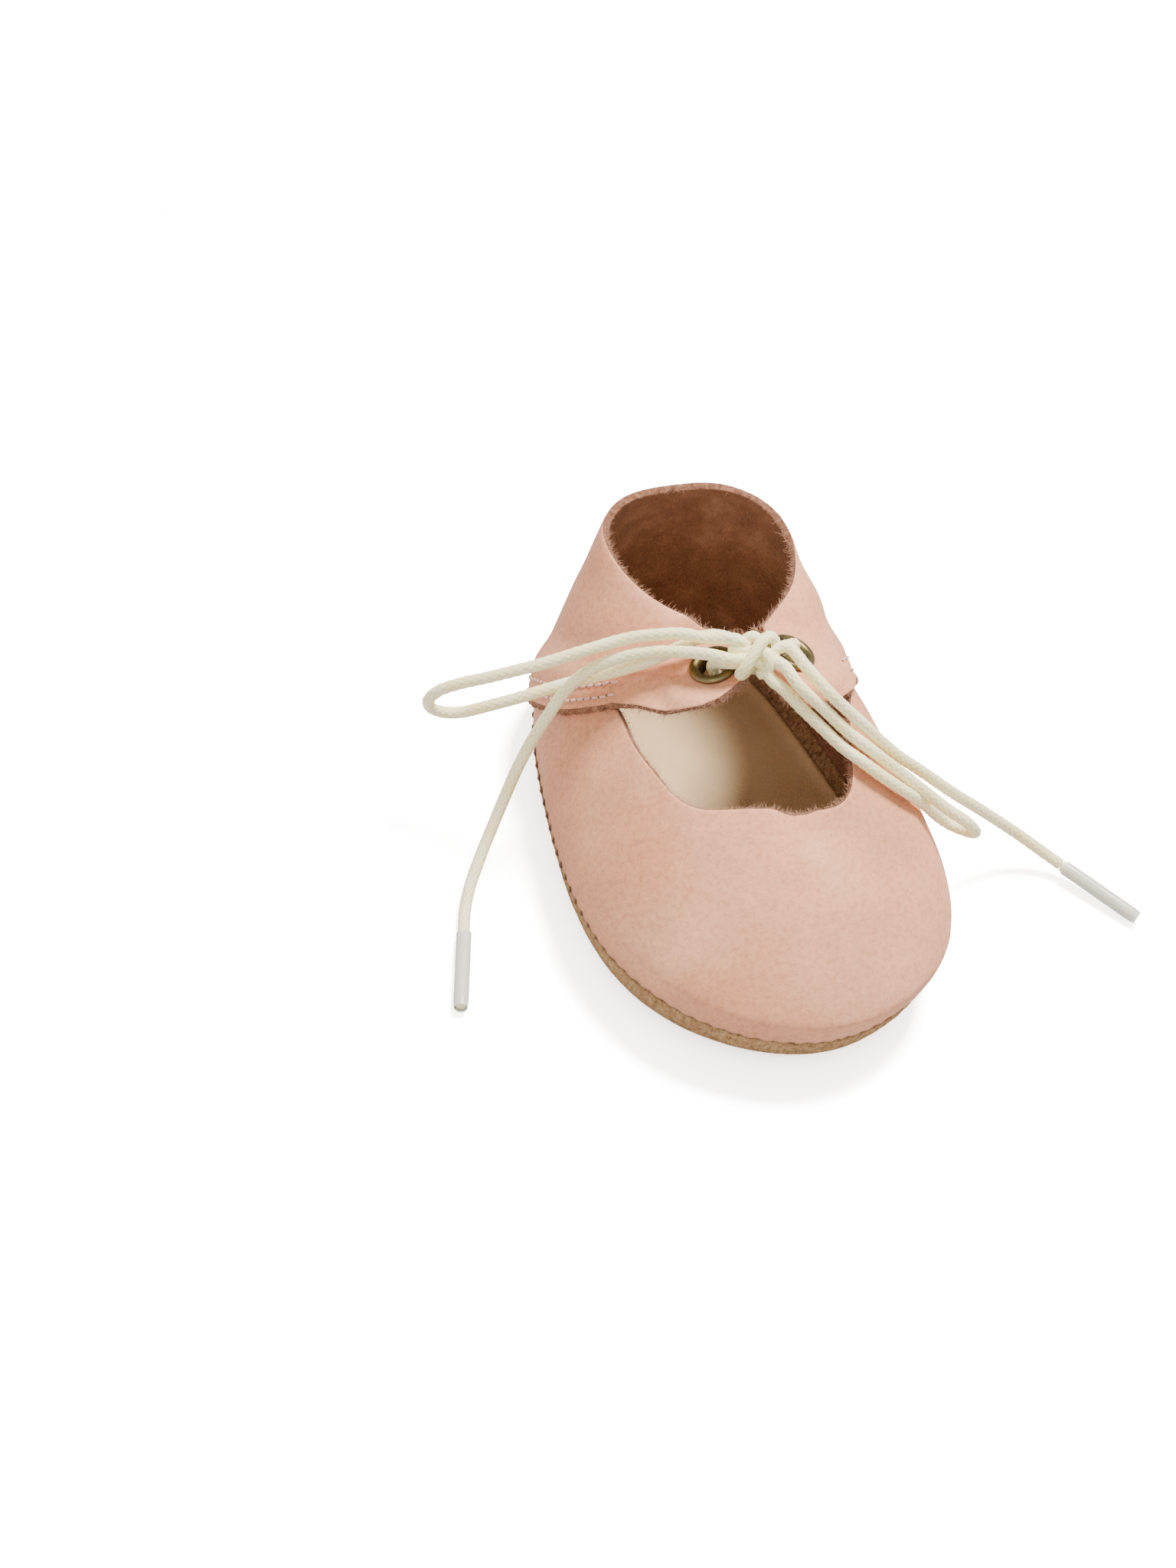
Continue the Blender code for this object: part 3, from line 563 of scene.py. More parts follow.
# leather with a cut edge: outer face, flesh side and rim are three material slots
def shell(name, grid, thickness, rim, skip=None, frayed=None):
    rows, columns = grid.shape[:2]
    normal = gridNormals(grid)
    inner = grid - normal * thickness
    count = rows * columns
    index = np.arange(count).reshape(rows, columns)
    keep = np.ones((rows - 1, columns - 1), bool)
    if skip is not None:
        middle = (grid[:-1, :-1] + grid[1:, 1:]) / 2
        keep &= ~skip(middle)
    quads = quadsOf(index[:-1], index[1:])[keep]
    faces = [quads, quads[:, ::-1] + count]
    kinds = [np.zeros(len(quads)), np.ones(len(quads))]
    ring = np.concatenate([index[0, :], index[1:, -1], index[-1, -2::-1], index[-2:0:-1, 0]])
    nextIn = np.concatenate([index[1, :], index[1:, -2], index[-2, -2::-1], index[-2:0:-1, 1]])
    flatGrid, flatInner = grid.reshape(-1, 3), inner.reshape(-1, 3)
    away = unit(flatGrid[ring] - flatGrid[nextIn])
    wobble = fieldNoise(flatGrid[ring], 900, 3)
    more = np.zeros(len(ring)) if frayed is None else frayed.ravel()[ring]
    points = [flatGrid, flatInner]
    strip = [ring]
    start = 2 * count
    for share in rim["shares"]:
        out = (rim["bulge"] + rim["frayed"] * more) * math.sin(math.pi * (0.12 + 0.76 * share))
        out = out + (rim["rough"] + 0.3 * rim["frayed"] * more) * wobble
        points.append(flatGrid[ring] * (1 - share) + flatInner[ring] * share + away * out[:, None])
        strip.append(start + np.arange(len(ring)))
        start += len(ring)
    strip.append(ring + count)
    for a, b in zip(strip, strip[1:]):
        faces.append(np.stack([a, b, np.roll(b, -1), np.roll(a, -1)], axis=1))
        kinds.append(np.full(len(ring), 2))
    return meshFrom(name, np.concatenate(points), np.concatenate(faces), np.concatenate(kinds).astype(int))


# vamp and heel piece

upperLook = {
    "vampRows": 381, "vampColumns": 66, "heelColumns": 58,
    "rim": {"shares": (0.12, 0.38, 0.65, 0.88), "bulge": 0.00013, "rough": 0.00016, "frayed": 0.0010},
    "undulation": 0.00022,     # slow waves of soft leather
    "pucker": 0.00028,         # at the sole seam
    "seamPitch": 0.0033,
    "stitchSink": 0.00022,
    "stitchRows": (0.0017, 0.0043),    # from the sewn edge
    "stitchPitch": 0.0020,
    "lapLift": 0.0016,
    "puckerReach": 0.035, "darkAtSoleSeamReach": 0.03, "darkAtSoleSeamDepth": 0.8,    # as shares of the wall
    "holeRadius": 0.0038, "holeDepth": 0.004,
    "plainRadius": 0.0055, "plainFade": 0.002,    # no folds under the flanges
}
# soft troughs: ends in w and b, depth, width
vampFolds = [
    ((0.27, 0.62), (0.20, 0.30), 0.00055, 0.0050),
    ((0.12, 0.80), (0.06, 0.45), 0.00040, 0.0060),
    ((1.90, 0.80), (1.80, 0.45), 0.00045, 0.0055),
    ((1.72, 0.62), (1.62, 0.30), 0.00050, 0.0050),
    ((0.42, 0.47), (0.46, 0.15), 0.00045, 0.0055),
    ((0.03, 0.86), (1.94, 0.83), 0.00035, 0.0035),
]
heelFolds = [
    ((0.60, 0.62), (0.76, 0.42), 0.00050, 0.0045),
    ((0.53, 0.74), (0.62, 0.80), 0.00045, 0.0028),
    ((1.42, 0.66), (1.26, 0.45), 0.00050, 0.0050),
    ((0.86, 0.86), (0.93, 0.45), 0.00045, 0.0060),
    ((1.14, 0.86), (1.08, 0.45), 0.00040, 0.0060),
    ((0.96, 0.30), (1.04, 0.28), 0.00040, 0.0050),
    ((1.52, 0.80), (1.60, 0.70), 0.00035, 0.0028),
]


def foldRelief(points, folds):
    relief = np.zeros(points.shape[:-1])
    for start, end, depth, width in folds:
        a, b = lastPoints([start[0], end[0]], [start[1], end[1]])
        distance, t = segmentDistance(points, a, b)
        fade = 0.35 + 0.65 * np.sin(np.pi * np.clip(t, 0.02, 0.98))
        relief -= depth * fade * np.exp(-(distance / width) ** 2)
        relief += 0.45 * depth * fade * np.exp(-((distance - 1.7 * width) / width) ** 2)
    return relief


def puckerAt(w):
    return 0.5 + 0.5 * np.cos(2 * math.pi * seamRun(np.mod(w, 2)) / upperLook["seamPitch"])


def softRelief(points, w, b, folds, seed):
    waves = fieldNoise(points, 55, seed) + 0.5 * fieldNoise(points, 130, seed + 1)
    pucker = puckerAt(w) * np.exp(-(b / upperLook["puckerReach"]) ** 2)
    return foldRelief(points, folds) + upperLook["undulation"] * waves - upperLook["pucker"] * pucker


def vampGrid():
    rows, columns = upperLook["vampRows"], upperLook["vampColumns"]
    share = np.linspace(-1, 1, rows)
    reach = vampEdge["outer"][-1][0]
    t = np.abs(share) * reach
    w = np.where(share < 0, 2 - t, t)
    edge = np.where(share < 0, ease(vampEdge["inner"], 1, t), ease(vampEdge["outer"], 1, t))
    # the cut edge is eased a little round its corners
    kernel = np.exp(-np.linspace(-2, 2, 21) ** 2)
    padded = np.pad(edge, 10, mode="edge")
    edge = np.convolve(padded, kernel / kernel.sum(), mode="valid")
    up = np.linspace(0, 1, columns)
    b = edge[:, None] * up[None]
    wGrid = np.repeat(w[:, None], columns, axis=1)
    points = lastPoints(wGrid, b).reshape(rows, columns, 3)
    normal = gridNormals(points)
    relief = softRelief(points, wGrid, b, vampFolds, 1)
    relief *= smoothStep((1.0 - up) / 0.03)[None] * 0.6 + 0.4
    return points + normal * relief[..., None], b


def heelEdges(side, shares):
    return [ease(heelPiece[side], i, shares) for i in (1, 2, 3, 4)]


def frontEdgeLine(side):
    w, b = heelEdges(side, np.linspace(*frontEdge, 90))[:2]
    return lastPoints(signedW(side, w), b)


def heelGrid():
    columns = upperLook["heelColumns"]
    half = np.concatenate([np.linspace(0, 0.10, 48)[:-1], np.linspace(0.10, 0.42, 72)[:-1],
                           np.linspace(0.42, 0.85, 84)[:-1], np.linspace(0.85, 1, 46)])
    shares = np.concatenate([half, 2 - half[-2::-1]])
    up = np.linspace(0, 1, columns)
    s = np.where(shares <= 1, shares, 2 - shares)
    outer, inner = heelEdges("outer", s), heelEdges("inner", s)
    onOuter = shares <= 1
    lowW, lowB, topW, topB = [np.where(onOuter, a, c) for a, c in zip(outer, inner)]
    w = lowW[:, None] + (topW - lowW)[:, None] * up[None]
    w = np.where(onOuter[:, None], w, 2 - w)
    b = lowB[:, None] + (topB - lowB)[:, None] * up[None]
    points = lastPoints(w, b)
    normal = outward(w, np.clip(b, 0.004, 0.996))
    edges = np.concatenate([frontEdgeLine("outer"), frontEdgeLine("inner")])
    away = np.array([np.sqrt(((edges - point) ** 2).sum(axis=1).min()) for point in points])
    past = (away - lastSizes["lap"] * 1.1) / lastSizes["lapFade"]
    lift = upperLook["lapLift"] * (1 - smoothStep(past))
    points += normal * lift[:, None]
    seat = lastSizes["eyeletSeat"]
    plain = np.zeros(len(points))
    for side in eyelets:
        centre, axis = eyeletFrame(side)
        height = (points - centre) @ axis
        spread = np.linalg.norm(points - centre - np.outer(height, axis), axis=1)
        close = np.abs(height) < seat
        points -= np.outer(height * (1 - smoothStep((spread - seat) / (seat / 2))) * close, axis)
        under = 1 - smoothStep((spread - upperLook["plainRadius"]) / upperLook["plainFade"])
        plain = np.maximum(plain, under * close)
    points = points.reshape(len(shares), columns, 3)
    b = b.reshape(points.shape[:2])
    w = w.reshape(points.shape[:2])
    normal = gridNormals(points)
    relief = softRelief(points, w, b, heelFolds, 4)
    relief *= 1 - plain.reshape(relief.shape)
    return points + normal * relief[..., None], b, shares


# rows of stitches, set off square from the sewn edge and laid back on the leather
def stitchLines(grid, shares):
    rows, columns = grid.shape[:2]
    index = np.arange(rows * columns).reshape(rows, columns)
    quads = quadsOf(index[:-1], index[1:]).reshape(-1, 4)
    tree = BVHTree.FromPolygons([tuple(p) for p in grid.reshape(-1, 3)], quads.tolist())
    normal = gridNormals(grid)
    lines = []
    for side in ("outer", "inner"):
        near = shares if side == "outer" else 2 - shares
        edge = np.where((near >= frontEdge[0] - 0.01) & (near <= frontEdge[1] - 0.02))[0]
        line, out = grid[edge, 0], normal[edge, 2]
        square = unit(np.cross(out, unit(np.gradient(line, axis=0))))
        square *= np.sign(((grid[edge, 4] - line) * square).sum(axis=1))[:, None]
        for offset in upperLook["stitchRows"]:
            places, normals = [], []
            for p, way in zip(line, square):
                place, face, _, _ = tree.find_nearest(Vector(p + way * offset))
                places.append(place)
                normals.append(face)
            lines.append((np.array(places), np.array(normals)))
    return lines


def nearHole(middle):
    skip = np.zeros(middle.shape[:2], bool)
    for side in eyelets:
        centre, axis = eyeletFrame(side)
        height = (middle - centre) @ axis
        spread = np.linalg.norm(middle - centre - height[..., None] * axis, axis=-1)
        skip |= (spread < upperLook["holeRadius"]) & (np.abs(height) < upperLook["holeDepth"])
    return skip


def addUpperPiece(name, grid, b, skip=None, frayed=None):
    mesh = shell(name, grid, leather, upperLook["rim"], skip, frayed)
    # darkening that is strongest at the sole seam and fades up the wall
    darkAtSoleSeam = np.zeros(len(mesh.vertices))
    darkAtSoleSeam[:b.size] = (smoothStep(1 - b / upperLook["darkAtSoleSeamReach"]) * upperLook["darkAtSoleSeamDepth"]).ravel()
    setAttribute(mesh, "darkAtSoleSeam", darkAtSoleSeam)
    addPiece(name, mesh, ("nubuck", "flesh", "rawEdge"), ("upper",))


def makeUpper():
    vamp, vampB = vampGrid()
    addUpperPiece("upper_vamp", vamp, vampB)
    heel, heelB, shares = heelGrid()
    lines = stitchLines(heel, shares)
    flat = heel.reshape(-1, 3)
    sink = np.zeros(len(flat))
    for line, _ in lines:
        close = np.array([((line - p) ** 2).sum(axis=1).min() for p in flat])
        sink += upperLook["stitchSink"] * np.exp(-close / 0.0006 ** 2)
    heel = heel - gridNormals(heel) * sink.reshape(heel.shape[:2])[..., None]
    near = np.where(shares <= 1, shares, 2 - shares)
    frayed = np.zeros(heel.shape[:2])
    frayed[:, 0] = smoothStep((near - 0.36) / 0.06) * smoothStep((0.88 - near) / 0.05)
    addUpperPiece("upper_heel_piece", heel, heelB, nearHole, frayed)
    return vamp, heel, lines, shares


vamp, heel, stitchRows, heelShares = makeUpper()
print("upper made")

# soles

soleLook = {
    "around": 720, "bends": 18, "innerRings": 26,
    "pucker": 0.00030, "edgeWaves": 0.00012, "edgeRound": 0.00018,
    "sockStart": 35,    # degrees up the turn, where the insole's edge begins
}


def dishRings(w, angles, raiseBy, innerRings):
    foot, along = seamPoint(w)
    seam = seamHeight(along) - gap
    step = 1e-3
    run = seamPoint(np.mod(w + step, 2))[0] - seamPoint(np.mod(w - step, 2))[0]
    inward = unit(np.column_stack([run[:, 1], -run[:, 0]]))
    turn = lastSizes["soleTurn"] * (1 + 0.45 * smoothStep((0.25 - along) / 0.25))
    underWaist = smoothStep((along - 0.42) / 0.08) * smoothStep((0.74 - along) / 0.08)
    lift = lastSizes["waistLift"] * underWaist
    t = np.where(w <= 1, w, 2 - w)
    middle = np.column_stack([0 * w, length * (-0.20 + 0.48 * smoothStep(t))])
    rings = []
    for angle in angles:
        lean = unit(np.column_stack([seam * math.cos(angle), turn * math.sin(angle)]))
        inset = turn * (1 - math.cos(angle)) + raiseBy * lean[:, 0]
        height = seam * (1 - math.sin(angle)) + raiseBy * lean[:, 1] + lift * math.sin(angle)
        rings.append(np.column_stack([foot + inward * inset[:, None], height]))
    edge = rings[-1]
    for share in np.linspace(0, 1, innerRings + 1)[1:]:
        flat = edge[:, :2] * (1 - share) + middle * share
        rings.append(np.column_stack([flat, raiseBy + lift * (1 - share)]))
    return np.stack(rings, axis=1)


def makeDish(name, finish, firstAngle, raiseBy, thickness, replaced, waves):
    half = soleLook["around"] // 2
    w = np.concatenate([np.linspace(0, 1, half + 1), 2 - np.linspace(1, 0, half + 1)[1:-1]])
    angles = np.linspace(firstAngle, math.pi / 2, soleLook["bends"])
    low = dishRings(w, angles, raiseBy, soleLook["innerRings"])
    high = dishRings(w, angles, raiseBy + thickness, soleLook["innerRings"])
    rows, columns = low.shape[:2]
    if waves:
        steps = np.arange(columns)
        dent = soleLook["pucker"] * puckerAt(w)[:, None] * np.exp(-(steps / 3.2) ** 2)
        waves = fieldNoise(low[:, :1], 220, 6) * np.exp(-(steps / 9.0) ** 2)
        dent = dent + soleLook["edgeWaves"] * waves
        low = low + unit(high - low) * dent[..., None]
    top = low[:, :1] * 0.5 + high[:, :1] * 0.5 + np.array([0, 0, soleLook["edgeRound"]])
    count = rows * columns
    index = np.arange(count).reshape(rows, columns)
    after = np.roll(index, -1, 0)
    quads = quadsOf(index, after).reshape(-1, 4)
    rim = 2 * count + np.arange(rows)
    rimAfter = np.roll(rim, -1)
    faces = [quads[:, ::-1], quads + count,
             np.stack([index[:, 0], rim, rimAfter, after[:, 0]], axis=1)[:, ::-1],
             np.stack([rim, index[:, 0] + count, after[:, 0] + count, rimAfter], axis=1)[:, ::-1]]
    points = np.concatenate([low.reshape(-1, 3), high.reshape(-1, 3), top.reshape(-1, 3)])
    mesh = meshFrom(name, points, np.concatenate(faces))
    bm = bmesh.new()
    bm.from_mesh(mesh)
    bmesh.ops.remove_doubles(bm, verts=bm.verts, dist=1e-5)
    bmesh.ops.recalc_face_normals(bm, faces=bm.faces)
    bm.to_mesh(mesh)
    bm.free()
    mesh.shade_smooth()
    return addPiece(name, mesh, (finish,), replaced)


makeDish("outsole_suede", "sole", 0.0, 0.0, lastSizes["soleLeather"], ("outsole",), True)
makeDish("insole_sock", "sock", math.radians(soleLook["sockStart"]),
         lastSizes["soleLeather"] + gap, lastSizes["sockLeather"], ("insole",), False)
print("soles made")

# eyelets

eyeletSizes = {
    "flange": 0.0050, "barrel": 0.0037, "bore": 0.0028, "clench": 0.0042,    # radii
    "metal": 0.0005, "steps": 96,
}


def makeEyelet(side):
    z = eyeletSizes
    flange, barrel, bore, clench = z["flange"], z["barrel"], z["bore"], z["clench"]
    centre, axis = eyeletFrame(side)
    metal, under = z["metal"], -leather - gap
    # radius, height over the leather, wear
    profile = [
        (flange - 0.0002, gap * 0.3, 0.1), (flange, gap + 0.25 * metal, 0.5),
        (flange - 0.00008, gap + 1.0 * metal, 0.9), (flange - 0.00035, gap + 1.7 * metal, 0.6),
        (flange - 0.00075, gap + 1.95 * metal, 0.25), (barrel + 0.0001, gap + 1.8 * metal, 0.1),
        (bore + 0.0005, gap + 1.25 * metal, 0.25), (bore + 0.00018, gap + 0.5 * metal, 0.8),
        (bore, -0.2 * leather, 0.35), (bore, -leather, 0.0), (bore, under - 0.8 * metal, 0.0),
        (bore + 0.0003, under - metal, 0.4), (clench - 0.0003, under - metal, 0.2),
        (clench, under - 0.5 * metal, 0.4), (clench - 0.0002, under, 0.0), (barrel, under, 0.0),
        (barrel, gap * 0.3, 0.0),
    ]
    steps = z["steps"]
    angles = np.linspace(0, 2 * math.pi, steps, endpoint=False)
    turn = np.array(Vector(axis).to_track_quat("Z", "Y").to_matrix())
    points, wear = [], []
    for angle in angles:
        for radius, height, worn in profile:
            ring = np.array([radius * math.cos(angle), radius * math.sin(angle), height])
            points.append(centre + turn @ ring)
            wear.append(worn)
    count = len(profile)
    faces = []
    for i in range(steps):
        k = (i + 1) % steps
        for j in range(count):
            m = (j + 1) % count
            faces.append((i * count + j, k * count + j, k * count + m, i * count + m))
    mesh = meshFrom("eyelet_" + side + "_brass", points, faces)
    setAttribute(mesh, "wear", wear)
    addPiece("eyelet_" + side + "_brass", mesh, ("brass",), ("eyelet_" + side,))


for side in eyelets:
    makeEyelet(side)
print("eyelets made")

# cord, along the solids' own routes

cordLook = {
    "diameter": 0.0025, "around": 36, "ring": 0.00022,
    "strands": 7, "stitch": 0.0019, "relief": 0.13,
    "intoKnot": 0.45,    # how far from the knot's middle the cords end inside it
}
cord = cordLook["diameter"]
knotPlace = np.array([-0.0021, 0.0041, 0.0558])
routes = {
    "lace_loop_outer": [
        (-0.0066, 0.0070, 0.0576), (-0.0103, 0.0099, 0.0552), (-0.0144, 0.0133, 0.0536),
        (-0.0192, 0.0154, 0.0518), (-0.0238, 0.0174, 0.0493), (-0.0310, 0.0184, 0.0462),
        (-0.0380, 0.0195, 0.0427), (-0.0435, 0.0209, 0.0397), (-0.0488, 0.0227, 0.0364),
        (-0.0533, 0.0244, 0.0336), (-0.0567, 0.0256, 0.0309), (-0.0582, 0.0264, 0.0275),
        (-0.0570, 0.0269, 0.0243), (-0.0540, 0.0267, 0.0226), (-0.0505, 0.0256, 0.0233),
        (-0.0461, 0.0235, 0.0268), (-0.0408, 0.0219, 0.0301), (-0.0357, 0.0209, 0.0328),
        (-0.0302, 0.0194, 0.0361), (-0.0254, 0.0163, 0.0410), (-0.0193, 0.0138, 0.0460),
        (-0.0139, 0.0134, 0.0496), (-0.0086, 0.0126, 0.0530), (-0.0046, 0.0093, 0.0544),
    ],
    "lace_end_outer": [
        (-0.0075, 0.0035, 0.0556), (-0.0111, 0.0064, 0.0545), (-0.0150, 0.0102, 0.0518),
        (-0.0194, 0.0130, 0.0496), (-0.0239, 0.0150, 0.0470), (-0.0281, 0.0164, 0.0437),
        (-0.0316, 0.0172, 0.0399), (-0.0346, 0.0168, 0.0357), (-0.0370, 0.0159, 0.0308),
        (-0.0398, 0.0146, 0.0250), (-0.0424, 0.0127, 0.0195), (-0.0448, 0.0103, 0.0142),
        (-0.0474, 0.0073, 0.0096), (-0.0509, 0.0028, 0.0056), (-0.0543, -0.0023, 0.0029),
        (-0.0568, -0.0074, 0.0016), (-0.0586, -0.0124, 0.0014),
    ],
    "lace_loop_inner": [
        (0.0016, -0.0004, 0.0564), (0.0037, -0.0046, 0.0547), (0.0089, -0.0072, 0.0503),
        (0.0134, -0.0101, 0.0466), (0.0173, -0.0127, 0.0441), (0.0214, -0.0146, 0.0412),
        (0.0260, -0.0162, 0.0377), (0.0305, -0.0184, 0.0345), (0.0355, -0.0213, 0.0312),
        (0.0395, -0.0235, 0.0290), (0.0423, -0.0237, 0.0256), (0.0426, -0.0209, 0.0224),
        (0.0401, -0.0180, 0.0217), (0.0370, -0.0174, 0.0241), (0.0342, -0.0181, 0.0274),
        (0.0305, -0.0188, 0.0316), (0.0263, -0.0192, 0.0355), (0.0207, -0.0177, 0.0395),
        (0.0163, -0.0154, 0.0423), (0.0127, -0.0121, 0.0438), (0.0089, -0.0091, 0.0466),
        (0.0048, -0.0062, 0.0499), (0.0014, -0.0030, 0.0526), (-0.0006, -0.0008, 0.0534),
    ],
    "lace_end_inner": [
        (0.0036, 0.0032, 0.0576), (0.0060, -0.0012, 0.0563), (0.0094, -0.0055, 0.0537),
        (0.0137, -0.0080, 0.0500), (0.0178, -0.0098, 0.0465), (0.0218, -0.0111, 0.0427),
        (0.0266, -0.0122, 0.0384), (0.0318, -0.0126, 0.0341), (0.0374, -0.0127, 0.0291),
        (0.0430, -0.0123, 0.0239), (0.0500, -0.0119, 0.0178), (0.0562, -0.0119, 0.0125),
        (0.0622, -0.0130, 0.0079), (0.0676, -0.0157, 0.0045), (0.0710, -0.0183, 0.0029),
    ],
}
agletEnds = {
    "outer": [(-0.0587, -0.01275, 0.0016), (-0.0650, -0.0302, 0.0016)],
    "inner": [(0.0716, -0.0191, 0.00275), (0.0825, -0.0337, 0.00165)],
}


def runOf(line):
    return np.concatenate([[0], np.cumsum(np.linalg.norm(np.diff(line, axis=0), axis=1))])


def readLine(line, run, stops):
    return np.column_stack([np.interp(stops, run, line[:, axis]) for axis in range(3)])


def smoothRoute(points, step):
    points = np.asarray(points, float)
    ends = np.vstack([2 * points[0] - points[1], points, 2 * points[-1] - points[-2]])
    fine = []
    for a, b, c, d in zip(ends, ends[1:], ends[2:], ends[3:]):
        for t in np.linspace(0, 1, 24, endpoint=False):
            fine.append(0.5 * (2 * b + (c - a) * t + (2 * a - 5 * b + 4 * c - d) * t * t
                               + (3 * b - a - 3 * c + d) * t ** 3))
    fine = np.vstack([fine, points[-1]])
    run = runOf(fine)
    return readLine(fine, run, np.linspace(0, run[-1], max(2, round(run[-1] / step) + 1)))


# points, faces and groove depth of a braided tube along a path, and its middle line; the groove depth sets
# the painted shade in the grooves
def braidTube(path):
    centre = smoothRoute(path, cordLook["ring"])
    around = cordLook["around"]
    ways = unit(np.gradient(centre, axis=0))
    side = np.cross(ways[0], [0, 0, 1.0])
    phi = np.linspace(0, 2 * math.pi, around, endpoint=False)
    points, grooveShade = [], []
    strands, stitch = cordLook["strands"], cordLook["stitch"]
    for i, (place, way) in enumerate(zip(centre, ways)):
        side = unit(side - way * (side @ way))
        other = np.cross(way, side)
        s = i * cordLook["ring"] / stitch
        u, v = strands * phi / (2 * math.pi) + s, strands * phi / (2 * math.pi) - s
        over = (np.floor(u) + np.floor(v)) % 2 == 0
        bandU, bandV = np.sin(math.pi * (u % 1)) ** 0.7, np.sin(math.pi * (v % 1)) ** 0.7
        high = np.where(over, bandU * (0.55 + 0.45 * bandV), bandV * (0.55 + 0.45 * bandU))
        radius = cord / 2 * (1 - cordLook["relief"] * (1 - high))
        spread = np.cos(phi)[:, None] * side + np.sin(phi)[:, None] * other
        points.append(place + radius[:, None] * spread)
        grooveShade.append(high)
    count = len(centre)
    index = np.arange(count * around).reshape(count, around)
    after = np.roll(index, -1, 1)
    quads = np.stack([index[:-1], after[:-1], after[1:], index[1:]], axis=2).reshape(-1, 4)
    points = np.concatenate(points)
    caps = []
    for ring, flip in ((index[0], True), (index[-1], False)):
        middle = len(points) + len(caps)
        caps.append([(middle, ring[k], ring[(k + 1) % around]) if not flip else
                     (middle, ring[(k + 1) % around], ring[k]) for k in range(around)])
    ends = np.array([centre[0], centre[-1]])
    faces = [tuple(q) for q in quads] + [tuple(f) for cap in caps for f in cap]
    return np.vstack([points, ends]), faces, np.concatenate(grooveShade + [[1.0, 1.0]]), centre


def makeCordPiece(name, tubes, replaced):
    faces, shift = [], 0
    for tube in tubes:
        faces += [tuple(shift + k for k in face) for face in tube[1]]
        shift += len(tube[0])
    mesh = meshFrom(name, np.vstack([tube[0] for tube in tubes]), faces)
    setAttribute(mesh, "grooveShade", np.concatenate([tube[2] for tube in tubes]))
    return addPiece(name, mesh, ("cord",), replaced)


def atKnot(x, y, z):    # millimetres right, up and towards the viewer
    right, up = np.array(view["right"]), np.array(view["up"])
    return knotPlace + (x * right + y * up + z * np.cross(right, up)) * 0.001


def intoKnot(point, share=cordLook["intoKnot"]):
    return knotPlace + (np.array(point) - knotPlace) * share


# the cord's hidden run: down through one eyelet, under the strap and up through the other
def barRoute():
    places = []
    for side, lean in (("outer", 1), ("inner", -1)):
        centre, axis = eyeletFrame(side)
        towards = np.array([lean, -0.55, 0.0]) * cord
        places.append([
            centre + axis * 1.75 * cord + towards * 0.95, centre + axis * 1.25 * cord + towards * 0.35,
            centre + axis * 0.3 * cord, centre - axis * 0.9 * cord,
            centre - axis * 1.7 * cord + towards * 0.45,
        ])
    under = (places[0][-1] + places[1][-1]) / 2 + np.array([0, 0.6, 0.5]) * cord
    outer = [atKnot(-1.8, -1.3, 0.2), atKnot(-4.4, -1.8, -0.2)]
    route = outer + places[0][2:] + [under] + places[1][::-1]
    return route + [intoKnot(route[-1], 0.35)]


# paths through the knot, for atKnot
knotPaths = [
    [(3.2, 1.0, -1.6), (3.1, 2.4, -0.6), (2.3, 3.2, 0.6), (0.9, 2.5, 1.9), (-0.6, 0.4, 2.5),
     (-2.2, -2.2, 2.3), (-3.4, -3.8, 1.2), (-3.1, -4.0, -0.4), (-1.8, -2.8, -1.6), (0.0, -1.2, -2.0)],
    [(-4.8, 0.8, -0.6), (-3.3, 1.8, -0.4), (-2.0, 2.9, 0.1), (-0.9, 3.2, 0.3), (0.2, 2.4, -0.1),
     (1.2, 0.6, -0.8), (1.4, -1.4, -0.9)],
    [(-5.6, 1.2, 0.4), (-3.2, 0.6, 0.9), (-0.8, 0.2, 0.8), (1.6, 0.0, 0.9), (3.4, -1.3, 0.7)],
    [(-5.4, -1.9, -0.4), (-3.6, -1.6, 0.2), (-1.6, -1.3, 0.4), (0.8, -1.9, 0.5), (2.4, -3.4, 0.3)],
    [(0.4, 0.8, 0.8), (1.7, -0.4, 1.5), (2.1, -2.0, 1.3), (1.6, -3.4, 0.4), (0.2, -3.9, -0.6)],
]


def makeLace():
    tubes = [braidTube([atKnot(*place) for place in path]) for path in knotPaths]
    makeCordPiece("lace_knot_braid", tubes, ("lace_knot",))
    makeCordPiece("lace_bar_braid", [braidTube(barRoute())], ("lace_bar",))
    pieces = {}
    for name, route in routes.items():
        path = [intoKnot(route[0])] + [np.array(p) for p in route]
        if "loop" in name:
            path.append(intoKnot(route[-1]))
        tube = braidTube(path)
        pieces[name] = (makeCordPiece(name + "_braid", [tube], (name,)), tube[3])
    return pieces


agletLook = {
    "radius": 0.00155, "steps": 40, "rings": 40,
    "wave": 0.00004, "tuck": 0.0006,    # the cord's end sits this far inside
}


def sleeveFaces(rings, steps):
    faces = []
    for k in range(rings):
        for j in range(steps):
            m = (j + 1) % steps
            faces.append((k * steps + j, k * steps + m, (k + 1) * steps + m, (k + 1) * steps + j))
    return faces


